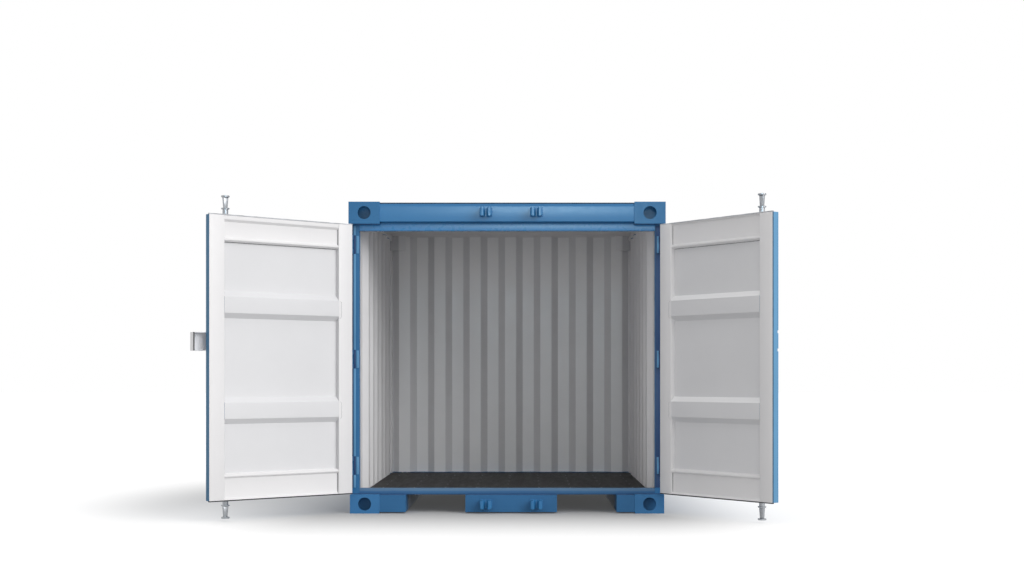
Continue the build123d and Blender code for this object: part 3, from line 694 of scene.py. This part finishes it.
def door_stiles(name):
    free = LEAVES[name][0]
    mesh = bmesh.new()
    for low, high in ((free, free + STILE), (LEAF_EDGE - STILE, LEAF_EDGE)):
        rounded_box(mesh, (low, high), (DOOR_OUTER, DOOR_INNER), (LEAF_LOW, LEAF_HIGH), 0.0028, 3)
    parts = mesh.verts[:] + mesh.edges[:] + mesh.faces[:]
    bmesh.ops.bisect_plane(mesh, geom=parts, plane_co=(0, PANEL_MIDDLE, 0), plane_no=(0, 1, 0))
    middle = (free + LEAF_EDGE) / 2

    def pick(centre, normal):
        to_panel = normal.x * (middle - centre.x) > 0 and abs(normal.x) > 0.5
        edge_side = min(abs(centre.x - free), abs(centre.x - LEAF_EDGE)) < 0.004
        if to_panel and not edge_side and normal.y < 0.35 and centre.y > PANEL_MIDDLE:
            return 3 if centre.x > middle else 0
        if normal.y > 0.35:
            return 0
        return 2 if edge_side and normal.y > -0.5 else 1

    for face in mesh.faces:
        face.normal_update()
    paint_faces(mesh.faces, pick)
    # Painted light and shade: the edges take lighter blues, palest on the right leaf, and the left leaf's
    # hinge stile has its side to the panel painted grey as shade.
    rim, side_shade = (pale_blue_lit, white_paint) if name == "right" else (edge_paint_lit, stile_shade_grey)
    looks = (white_paint, blue_paint, rim, side_shade)
    leaf_piece(name, "door_stiles", mesh, looks, FOLD_EDGE)


def door_rails(name):
    free = LEAVES[name][0]
    face, crest = DOOR_INNER - 0.016, DOOR_INNER - 0.003
    mesh = bmesh.new()
    for edge, side in ((LEAF_LOW, 1), (LEAF_HIGH, -1)):
        far = edge + side * RAIL
        lip, foot = (0.024, 0.037) if name == "left" and side < 0 else (0.004, 0.011)
        outline = [
            (DOOR_OUTER, edge), (crest, edge), (crest, edge + side * lip), (face, edge + side * foot),
            (face, far - side * 0.026), (crest, far - side * 0.017), (crest, far - side * 0.009),
            (face, far), (PANEL_MIDDLE, far), (DOOR_OUTER, far),
        ]

        def pick(centre, normal, side=side):
            inside = normal.y > 0.2 or (normal.z * side > 0.5 and centre.y > PANEL_MIDDLE)
            return 0 if inside else 1

        add_bar(mesh, fillet(outline, 0.003, 3, True), free + STILE, LEAF_EDGE - STILE, along_x, pick)
    leaf_piece(name, "door_rails", mesh, (white_paint, blue_paint), FOLD_EDGE)


def door_panel(name):
    free = LEAVES[name][0]
    points = [(PANEL_LOW, 0.0)]
    for centre in RIBS:
        points += [(centre - RIB_FOOT, 0.0), (centre - RIB_TOP, RIB_DEPTH)]
        points += [(centre + RIB_TOP, RIB_DEPTH), (centre + RIB_FOOT, 0.0)]
    points.append((PANEL_HIGH, 0.0))
    line = divided(fillet(points, 0.005), 0.04)

    def place(along, depth, across):
        return Vector((across, PANEL_FACE + depth, along))

    mesh = bmesh.new()
    rows = levels(free + STILE, LEAF_EDGE - STILE, 22)
    add_sheet(mesh, line, SHEET, rows, place, DENT, seed=11.0 if name == "left" else 17.0)
    bmesh.ops.recalc_face_normals(mesh, faces=mesh.faces)
    for face in mesh.faces:
        if face.material_index == 0 and face.normal.z > 0.3:
            face.material_index = 2
    back, crest = PANEL_FACE - 0.004, PANEL_FACE + RIB_DEPTH - 0.0015
    foot, top, plate = RIB_FOOT - 0.0002, RIB_TOP - 0.0012, 0.001
    for centre in RIBS:
        closing = [(back, centre - foot), (crest, centre - top), (crest, centre + top), (back, centre + foot)]
        for start, end in ((rows[0], rows[0] + plate), (rows[-1] - plate, rows[-1])):
            add_bar(mesh, closing, start, end, along_x, always(1))
    # Painted light and shade: the panel is a darker white than the stiles, and on the right leaf the upward
    # slopes of the ribs take the lighter white.
    slope = shaded_panel_white if name == "left" else lit_white
    leaf_piece(name, "door_panel", mesh, (shaded_panel_white, blue_paint, slope), FOLD_EDGE)


for leaf in LEAVES:
    door_stiles(leaf)
    door_rails(leaf)
    door_panel(leaf)


# Small parts: turned and hexagonal heads, weld beads and seals.

def add_lathe(mesh, centre, axis, profile, sides):
    """A turned part: the profile gives radius and height along the axis; six sides make a hexagon."""
    turn = Vector(axis).to_track_quat("Z", "X").to_matrix()
    rings = []
    for radius, height in profile:
        count = sides if radius > 1e-6 else 1
        ring = []
        for index in range(count):
            angle = 2 * math.pi * index / sides
            spot = Vector((radius * math.cos(angle), radius * math.sin(angle), height))
            ring.append(mesh.verts.new(Vector(centre) + turn @ spot))
        rings.append(ring)
    for low, high in zip(rings, rings[1:]):
        for index in range(sides):
            other = (index + 1) % sides
            corners = [low[index % len(low)], low[other % len(low)]]
            corners += [high[other % len(high)], high[index % len(high)]]
            mesh.faces.new(list(dict.fromkeys(corners)))
    for ring in (rings[0], rings[-1]):
        if len(ring) > 1:
            mesh.faces.new(ring)


def add_bolt(mesh, centre, axis, across):
    """A hexagon head with its washer."""
    wide = across / 2 / math.cos(math.pi / 6)
    washer = across * 0.85
    add_lathe(mesh, centre, axis, [(washer, -0.001), (washer, 0.0012), (washer * 0.95, 0.0016)], 20)
    head = across * 0.42
    add_lathe(mesh, centre, axis, [(wide, 0.0008), (wide, head), (wide * 0.88, head + 0.0010)], 6)


def add_dome(mesh, centre, axis, radius, height):
    profile = [(radius, -0.001), (radius, 0.0)]
    for step in range(1, 6):
        angle = math.pi / 2 * step / 5
        profile.append((radius * math.cos(angle) if step < 5 else 0.0, height * math.sin(angle)))
    add_lathe(mesh, centre, axis, profile, 16)


def add_bead(mesh, path, radius, step, ripple=0.22):
    """A weld or caulk bead along a path, half sunk into what it joins."""
    sides = 6
    line = divided([Vector(point) for point in path], step)
    last = len(line) - 1
    rings = []
    for index, point in enumerate(line):
        run = (line[min(last, index + 1)] - line[max(0, index - 1)]).normalized()
        beside = Vector((0, 0, 1)) if abs(run.z) < 0.8 else Vector((0, 1, 0))
        side = run.cross(beside).normalized()
        up = side.cross(run)
        swell = 1 + ripple * (0.5 * math.sin(index * 2.2) + noise.noise(point * 90.0))
        if index in (0, last):
            swell *= 0.5
        ring = []
        for corner in range(sides):
            angle = 2 * math.pi * (corner + 0.5) / sides
            around = side * math.cos(angle) + up * math.sin(angle)
            ring.append(mesh.verts.new(point + around * radius * swell))
        rings.append(ring)
    for low, high in zip(rings, rings[1:]):
        bridge(mesh, low, high)
    mesh.faces.new(rings[0])
    mesh.faces.new(rings[-1])


# Keepers: two rounded jaws a bar, open to the front.

def resampled(line, count):
    """The line as a given number of evenly spaced points."""
    points = [Vector(point) for point in line]
    lengths = [0.0]
    for first, second in zip(points, points[1:]):
        lengths.append(lengths[-1] + (second - first).length)
    out = []
    index = 0
    for step in range(count):
        target = lengths[-1] * step / (count - 1)
        while index < len(points) - 2 and lengths[index + 1] < target:
            index += 1
        share = (target - lengths[index]) / (lengths[index + 1] - lengths[index])
        out.append(points[index].lerp(points[index + 1], min(1.0, share)))
    return out


def keeper_paths():
    """Outer and inner side of the two jaws in plan, beside the bar."""
    back = FRONT_FACE + 0.001
    corners = [(-MOUTH - 0.004, KEEPER_FRONT), (-KEEPER_HALF, KEEPER_FRONT), (-KEEPER_HALF, back),
               (KEEPER_HALF, back), (KEEPER_HALF, KEEPER_FRONT), (MOUTH + 0.004, KEEPER_FRONT)]
    outer = fillet(corners[:3], 0.014, 6) + fillet(corners[3:], 0.014, 6)
    start = math.asin(MOUTH / CAVITY)
    inner = [Vector((-MOUTH, KEEPER_FRONT + 0.004))]
    for step in range(25):
        angle = start + 2 * (math.pi - start) * step / 24
        inner.append(Vector((-CAVITY * math.sin(angle), BAR_Y - CAVITY * math.cos(angle))))
    inner.append(Vector((MOUTH, KEEPER_FRONT + 0.004)))
    return resampled(outer, 56), resampled(inner, 56)


def keepers(name, low):
    mesh = bmesh.new()
    outer, inner = keeper_paths()
    count = len(outer)
    heights = [0.0, 0.0008, 0.0022, 0.0045, 0.008, 0.012, 0.017, 0.030, 0.042, 0.047, 0.0505, KEEPER_TALL]
    keep = CAVITY + 0.004
    for bar in BARS:
        rings = []
        for height in heights:
            rise = min(1.0, height / 0.017, (KEEPER_TALL - height) / 0.006)
            share = math.sqrt(max(0.0, 1 - (1 - rise) ** 2))
            ring = []
            for point in outer:
                across = math.copysign(min(abs(point.x), keep + (KEEPER_HALF - keep) * share), point.x)
                ring.append(mesh.verts.new((bar + across, point.y, low + height)))
            for point in reversed(inner):
                ring.append(mesh.verts.new((bar + point.x, point.y, low + height)))
            rings.append(ring)
        for first, second in zip(rings, rings[1:]):
            bridge(mesh, first, second)
        for ring in (rings[0], rings[-1]):
            for index in range(count - 1):
                far = 2 * count - 1 - index
                mesh.faces.new((ring[index], ring[index + 1], ring[far - 1], ring[far]))
    mesh_piece(name, mesh, (header_paint,), FOLD_EDGE)


for keeper, height in KEEPER_FEET.items():
    keepers(keeper, height)


# Welds of the frame.

WELD, SEAM, FINE_WELD, SHEET_WELD = 0.0028, 0.0030, 0.0022, 0.0032


def frame_welds():
    mesh = bmesh.new()
    proud, back, gap = FRONT_FACE - 0.0002, STOP_FACE - 0.0002, 0.004

    def bead(y, corners, radius, step=0.006):
        add_bead(mesh, [(x, y, z) for x, z in corners], radius, step)

    for side in (-1, 1):
        top, low = side * TOP_INNER, side * BOTTOM_INNER
        post, outer = side * DOORWAY_SIDE, side * (FRAME_SIDE - gap)
        bead(proud, [(top, HEADER_FOOT + gap), (top, FRAME_TOP - 2 * gap)], WELD)
        bead(proud, [(low, 3 * gap), (low, BASE_TOP - 0.003)], WELD)
        bead(back, [(top, TOP_UNDERSIDE), (outer, TOP_UNDERSIDE)], SEAM)
        bead(back, [(low, BOTTOM_TOP), (outer, BOTTOM_TOP)], SEAM)
        bead(back, [(post, DOORWAY_TOP + gap), (post, TOP_UNDERSIDE - gap)], FINE_WELD)
        bead(back, [(post, BOTTOM_TOP + gap), (post, DOORWAY_SILL - gap)], FINE_WELD)
    for low, high in SILL_BLOCKS:
        bead(back, [(low + gap, BASE_TOP), (high - gap, BASE_TOP)], 0.0035)
    for bar in BARS:
        left, right = bar - KEEPER_HALF, bar + KEEPER_HALF
        for low in KEEPER_FEET.values():
            high = low + KEEPER_TALL
            bead(proud, [(left, low), (right, low), (right, high), (left, high), (left, low)], 0.0026)
    for side in (-1, 1):
        near, far = side * (PIN_X - 0.011), side * (FRAME_SIDE - 0.001)
        for middle in HINGES:
            for foot in (middle - HINGE_HALF, middle + HINGE_HALF - HINGE_LUG):
                head = foot + HINGE_LUG
                bead(back, [(far, foot), (near, foot), (near, head), (far, head)], FINE_WELD, 0.004)
    # Painted shade: beads under the top castings, over the bottom castings and along the sill blocks' tops
    # are dark blue.
    for face in mesh.faces:
        centre = face.calc_center_median()
        beside = min(abs(centre.z - height) for height in (BASE_TOP, TOP_UNDERSIDE, BOTTOM_TOP))
        face.material_index = 1 if beside < 0.0045 and centre.y > FRONT_FACE + 0.01 else 0
    mesh_piece("frame_welds", mesh, (cast_paint, shade_blue), BEAD_EDGE, new=True)


def sheet_welds():
    mesh = bmesh.new()
    inset, step = 0.001, 0.008
    for side in (-1, 1):
        face = DOORWAY_SIDE + SHEET
        for height in (BASE_TOP + inset, RAIL_FOOT - inset):
            path = [(side * (face - depth), CASTING_BACK + along, height) for along, depth in SIDE_LINE]
            add_bead(mesh, path[2:-2], SHEET_WELD, step)
        path = [(side * ROOF_EDGE, CASTING_BACK + along, ROOF_UNDER + SHEET + depth)
                for along, depth in ROOF_LINE]
        add_bead(mesh, path, SHEET_WELD, step)
    outer = REAR_RIDGE + WALL_DEPTH + SHEET
    for height, reach in ((REAR_SILL_TOP + inset, WALL_RIDGE), (ROOF_UNDER - inset, TOP_INNER)):
        path = [(along - WALL_RIDGE, outer - depth, height) for along, depth in REAR_LINE
                if abs(along - WALL_RIDGE) < reach]
        add_bead(mesh, path, SHEET_WELD, step)
    mesh_piece("sheet_welds", mesh, (blue_paint,), BEAD_EDGE, new=True)


frame_welds()
sheet_welds()


# Seals and caulk of the frame, a dark bead of painted shade atop the header, strips and pads behind the
# hinges painted as light and shade, pin caps and floor screws.

def frame_seals():
    mesh = bmesh.new()
    top = [(-0.9872, 1.9045), (-0.9868, 1.9108), (-0.9790, 1.9128), (-0.9790, 1.9045)]
    under = [(STOP_FACE + 0.001, 1.7845), (STOP_FACE - 0.007, 1.7860), (STOP_FACE - 0.009, 1.7935),
             (STOP_FACE + 0.001, 1.7940)]
    # Painted shade: the dark bead along the header's top front edge is the shade line under the roof's edge.
    for outline, mark, reach in ((top, 1, TOP_INNER - 0.003), (under, 0, TOP_INNER - 0.001)):
        add_bar(mesh, fillet(outline, 0.003, 3, True), -reach, reach, along_x, always(mark))
    mesh_piece("frame_seals", mesh, (post_paint, dark_seal_and_shade), SMALL_EDGE, new=True)


def post_strip(mesh, x, z, proud, mark):
    rounded_box(mesh, x, (STOP_FACE - proud, STOP_FACE + 0.001), z, 0.0010, 2, always(mark))


def post_strips():
    """Strips between the hinges and pads behind them, each with its two sides, rise and look; the dark ones
    are painted shade beside the leaves, the pale ones painted light.
    """
    gap = 0.0015
    between = ((-0.9575, -0.9512, 0.0030, 1), (-0.9505, -0.9365, 0.0034, 0), (0.9175, 0.9475, 0.0020, 1))
    behind = ((-0.9505, -0.9375, 0.0022, 1, 0.0575), (-0.9325, -0.9180, 0.0034, 0, 0.054),
              (0.9175, 0.9500, 0.0020, 1, 0.0575), (0.9255, 0.9375, 0.0042, 0, 0.052))
    ends = [DOORWAY_SILL + 0.004]
    for middle in HINGES:
        ends += [middle - HINGE_HALF - gap, middle + HINGE_HALF + gap]
    ends.append(DOORWAY_TOP + 0.030)
    mesh = bmesh.new()
    for run in zip(ends[::2], ends[1::2]):
        for left, right, proud, mark in between:
            post_strip(mesh, (left, right), run, proud, mark)
    for middle in HINGES:
        for left, right, proud, mark, half in behind:
            post_strip(mesh, (left, right), (middle - half, middle + half), proud, mark)
    mesh_piece("post_strips", mesh, (pale_blue_lit, shade_blue), SMALL_EDGE, new=True)


def pin_caps():
    mesh = bmesh.new()
    profile = [(0.0060, -0.001), (0.0082, 0.0), (0.0082, 0.0018), (0.0066, 0.0030)]
    for side in (-1, 1):
        for middle in HINGES:
            for way in (1, -1):
                add_lathe(mesh, (side * PIN_X, PIN_Y, middle + way * HINGE_HALF), (0, 0, way), profile, 18)
    mesh_piece("pin_caps", mesh, (blue_paint,), SMALL_EDGE, new=True)


def floor_screws():
    mesh = bmesh.new()
    profile = [(0.0058, -0.001), (0.0058, 0.0003), (0.0050, 0.0007), (0.0026, 0.0006), (0.0022, -0.0006)]
    pitch, channel_pitch = 0.2, 0.2933
    for row in range(-2, 3):
        for column in range(-4, 5):
            add_lathe(mesh, (column * pitch, row * channel_pitch, FLOOR_TOP), (0, 0, 1), profile, 14)
    mesh_piece("floor_screws", mesh, (zinc,), SMALL_EDGE, new=True)


def floor_caulk():
    mesh = bmesh.new()
    side, end, reach, sunk = 0.8788, 0.8800, 0.875, 0.001
    radius, step, ripple = 0.0030, 0.02, 0.10
    for across in (-side, side):
        path = [(across, way * (reach + 0.001), FLOOR_TOP - sunk) for way in (-1, 1)]
        add_bead(mesh, path, radius, step, ripple)
    add_bead(mesh, [(-reach, end, FLOOR_TOP), (reach, end, FLOOR_TOP)], radius, step, ripple)
    mesh_piece("floor_caulk", mesh, (seal_rubber,), BEAD_EDGE, new=True)


def roof_caulk():
    """Painted caulk where the rear wall meets the roof, inside."""
    mesh = bmesh.new()
    inner = REAR_RIDGE + WALL_DEPTH
    path = [(along - WALL_RIDGE, inner - depth, ROOF_UNDER - 0.001) for along, depth in REAR_LINE
            if abs(along - WALL_RIDGE) < TOP_INNER]
    add_bead(mesh, path, 0.0060, 0.012, 0.08)
    mesh_piece("roof_caulk", mesh, (white_paint,), BEAD_EDGE, new=True)


frame_seals()
post_strips()
pin_caps()
floor_screws()
floor_caulk()
roof_caulk()


# Seals and fastenings of the leaves.

def door_gasket(name):
    """Lips along the top and bottom edge, and on the right leaf one along its free edge."""
    free = LEAVES[name][0]
    mesh = bmesh.new()
    section = ((0.014, 0.0), (0.0135, 0.0045), (0.0095, 0.0058), (0.0065, 0.0040), (0.0035, 0.0058),
               (0.0, 0.0045), (0.0, 0.0))
    for edge, side, mark in ((LEAF_HIGH, 1, 1), (LEAF_LOW, -1, 0)):
        lip = [(DOOR_INNER - depth, edge + side * rise) for depth, rise in section]
        add_bar(mesh, fillet(lip, 0.0015, 2, True), free, LEAF_EDGE, along_x, always(mark))
    if name == "right":
        rounded_box(mesh, (free - 0.0025, free + 0.001), (-0.9440, -0.9385), (LEAF_LOW, LEAF_HIGH), 0.0011, 2,
                    always(2))
    leaf_piece(name, "door_gasket", mesh, (seal_rubber, pale_seal, dark_seal_and_shade), SMALL_EDGE)


def leaf_fastenings(name):
    """Bolts of the bar's guides and round heads on the hinge blades."""
    bar = LEAVES[name][1]
    out = (0, -1, 0)
    beside, blade = 0.0245, 0.008
    mesh = bmesh.new()
    for height in GUIDES:
        for side in (-1, 1):
            add_bolt(mesh, (bar + side * beside, BAR_Y - beside, height), out, 0.010)
    for middle in HINGES:
        for spot in (0.842, 0.880, 0.918):
            add_dome(mesh, (spot, DOOR_OUTER - blade, middle), out, 0.0105, 0.0060)
    leaf_piece(name, "leaf_fastenings", mesh, (zinc,), SMALL_EDGE, new=True)


def leaf_welds(name):
    """Beads where the sheet meets the frame of the leaf, inside and outside; those along the panel's top and
    beside the hinge stile are grey as painted shade.
    """
    left, right = LEAVES[name][0] + STILE, LEAF_EDGE - STILE
    outside, inside = DOOR_OUTER + 0.0006, DOOR_INNER - 0.0155
    mesh = bmesh.new()
    for height in (PANEL_LOW, PANEL_HIGH):
        path = [(left, PANEL_MIDDLE, height), (right, PANEL_MIDDLE, height)]
        add_bead(mesh, path, 0.0036, 0.012, 0.12)
    for spot in (left, right):
        for start, end in ((LEAF_LOW + 0.004, PANEL_LOW), (PANEL_HIGH, LEAF_HIGH - 0.004)):
            add_bead(mesh, [(spot, outside, start), (spot, outside, end)], FINE_WELD, 0.008)
    for start, end in ((LEAF_LOW + 0.012, PANEL_LOW - 0.002), (PANEL_HIGH + 0.002, LEAF_HIGH - 0.012)):
        add_bead(mesh, [(right, inside, start), (right, inside, end)], FINE_WELD, 0.02, 0.05)
    # Painted shade: beads at the panel's top and beside the hinge stile take the grey.
    for face in mesh.faces:
        centre = face.calc_center_median()
        dark = abs(centre.z - PANEL_HIGH) < 0.005 or centre.y > DOOR_INNER - 0.025
        face.material_index = 1 if centre.y < PANEL_MIDDLE else 2 if dark else 0
    looks = (white_paint, blue_paint, joint_and_shade_line)
    leaf_piece(name, "leaf_welds", mesh, looks, BEAD_EDGE, new=True)


def rib_ends(name):
    """Flat ends of the panel's ribs, lapped over the hinge stile and welded down."""
    start, shoulder, end = (LEAF_EDGE - STILE + reach for reach in (-0.001, 0.009, 0.017))
    mesh = bmesh.new()

    def place(x, z, y):
        return Vector((x, y, z))

    for centre in RIBS:
        outline = [(start, centre + 0.046), (shoulder, centre + 0.046), (end, centre + 0.036),
                   (end, centre - 0.048), (shoulder, centre - 0.060), (start, centre - 0.060)]
        add_bar(mesh, fillet(outline, 0.004, 3, True), DOOR_INNER - 0.001, DOOR_INNER + 0.0022, place)
        path = [(x + 0.0008, DOOR_INNER + 0.0003, z) for x, z in outline[1:5]]
        count = len(mesh.faces)
        add_bead(mesh, path, 0.0016, 0.006, 0.05)
        mesh.faces.ensure_lookup_table()
        for face in mesh.faces[count:]:
            face.material_index = 1
    leaf_piece(name, "rib_ends", mesh, (white_paint, joint_and_shade_line), FOLD_EDGE, new=True)


def lock_bar(name):
    """A round bar with a collar, a tapered key and a flange at each end, and a ring on its lowest guide."""
    bar = LEAVES[name][1]
    radius, flange, collar, plate = 0.0165, 0.0245, 0.008, 0.010
    half_wide, half_deep, overlap = 0.018, 0.008, 0.001
    mesh = bmesh.new()

    def disc(low, high, radius):
        soft = 0.0018
        profile = [(radius - soft, low), (radius, low + soft), (radius, high - soft), (radius - soft, high)]
        add_lathe(mesh, (bar, BAR_Y, 0), (0, 0, 1), profile, 32)

    (foot, low), (high, head) = BAR_KEYS
    ring = GUIDES[0] + 0.018
    disc(low, high, radius)
    for start, end in ((low, low + collar), (high - collar, high), (foot - plate, foot), (head, head + plate),
                       (ring, ring + collar)):
        disc(start, end, flange)
    for start, end in BAR_KEYS:
        faces = rounded_box(mesh, (bar - half_wide, bar + half_wide), (BAR_Y - half_deep, BAR_Y + half_deep),
                            (start - overlap, end + overlap), 0.0020, 3)
        for vert in {vert for face in faces for vert in face.verts}:
            rise = (vert.co.z - start) / (end - start)
            vert.co.x = bar + (vert.co.x - bar) * (0.60 + 0.32 * min(1.0, max(0.0, rise)))
    leaf_piece(name, "lock_bar", mesh, (zinc_bright,), SMALL_EDGE, body="bar")


def cover_strip():
    """A flat bar outside the right leaf's free edge, thinner where the walls of the lock housing pass."""
    free = LEAVES["right"][0]
    thick, thin = 0.008, 0.001
    heights = (LEAF_LOW, 0.983, 0.998, 1.086, 1.101, LEAF_HIGH)
    mesh = bmesh.new()
    for low, high, proud in zip(heights, heights[1:], (thick, thin, thick, thin, thick)):
        across, deep = (free, free + 0.027), (DOOR_OUTER - proud, DOOR_OUTER + 0.0010)
        # Painted light: the strip's side towards the free edge takes the pale blue.
        rounded_box(mesh, across, deep, (low, high), 0.0009, 2,
                    lambda centre, normal: 0 if normal.x < -0.5 else 1)
    leaf_piece("right", "cover_strip", mesh, (pale_blue_lit, blue_paint), SMALL_EDGE, new=True)


def housing_trim():
    """A dark strip on the open end of the lock housing."""
    mesh = bmesh.new()
    rounded_box(mesh, (-0.0878, -0.0818), (-0.9900, -0.9842), (0.9890, 1.0950), 0.0012, 2)
    leaf_piece("left", "housing_trim", mesh, (seal_rubber,), SMALL_EDGE, new=True)


cover_strip()
housing_trim()
for leaf in LEAVES:
    door_gasket(leaf)
    leaf_fastenings(leaf)
    leaf_welds(leaf)
    rib_ends(leaf)
    lock_bar(leaf)


# Finish of the solids that stay: soft edges and a look for each.

def soften_group():
    """Joins the faces of an imported solid and lets its curved faces shade smoothly."""
    group = bpy.data.node_groups.new("join_faces", "GeometryNodeTree")
    group.interface.new_socket("Geometry", in_out="INPUT", socket_type="NodeSocketGeometry")
    group.interface.new_socket("Geometry", in_out="OUTPUT", socket_type="NodeSocketGeometry")
    start = group.nodes.new("NodeGroupInput")
    merge = group.nodes.new("GeometryNodeMergeByDistance")
    merge.inputs["Distance"].default_value = 0.00002
    drop = group.nodes.new("GeometryNodeRemoveAttribute")
    drop.inputs["Name"].default_value = "custom_normal"
    smooth = group.nodes.new("GeometryNodeSetShadeSmooth")
    end = group.nodes.new("NodeGroupOutput")
    steps = (start, drop, merge, smooth, end)
    for first, second in zip(steps, steps[1:]):
        group.links.new(first.outputs["Geometry"], second.inputs["Geometry"])
    return group


JOIN = soften_group()


def soften(name, width, segments):
    node = nodes[name]
    join = node.modifiers.new("join_faces", "NODES")
    join.node_group = JOIN
    flat = node.modifiers.new("whole_faces", "DECIMATE")
    flat.decimate_type = "DISSOLVE"
    flat.angle_limit = math.radians(0.5)
    bevel = node.modifiers.new("soft_edges", "BEVEL")
    bevel.width = width
    bevel.segments = segments
    bevel.limit_method = "ANGLE"
    bevel.angle_limit = math.radians(40)
    bevel.harden_normals = True
    bevel.use_clamp_overlap = True


def dress(names, look, width, segments=2):
    for name in names:
        nodes[name].material_slots[0].material = look
        soften(name, width, segments)


dress(["front_top_castings"], top_cast_paint, 0.0062, 4)
dress(["front_bottom_castings", "rear_bottom_castings"], cast_paint, 0.005, 3)
dress(["rear_top_castings"], corner_paint, 0.004, 3)
dress(["rear_posts", "rear_header", "top_side_rails"], frame_paint, 0.003)
dress(["front_sill"], sill_paint, 0.0035)
dress(["front_posts"], post_paint, 0.0035)
dress(["rear_sill", "bottom_side_rails"], blue_paint, 0.0035)
dress(["fork_pockets"], pocket_paint, 0.0015)
dress(["floor_crossmembers"], blue_paint, 0.0015)
dress(["floor_panel"], board, 0.0015)
dress(["left_hinge_brackets", "right_hinge_brackets"], blue_paint, 0.0018)
for leaf in LEAVES:
    dress([f"{leaf}_hinge_blades"], blue_paint, 0.0015)
    dress([f"{leaf}_bar_guides", f"{leaf}_lock_handle"], zinc, 0.0015)
dress(["left_lock_housing"], grey_paint, 0.002)
dress(["right_lock_staple"], zinc, 0.002)
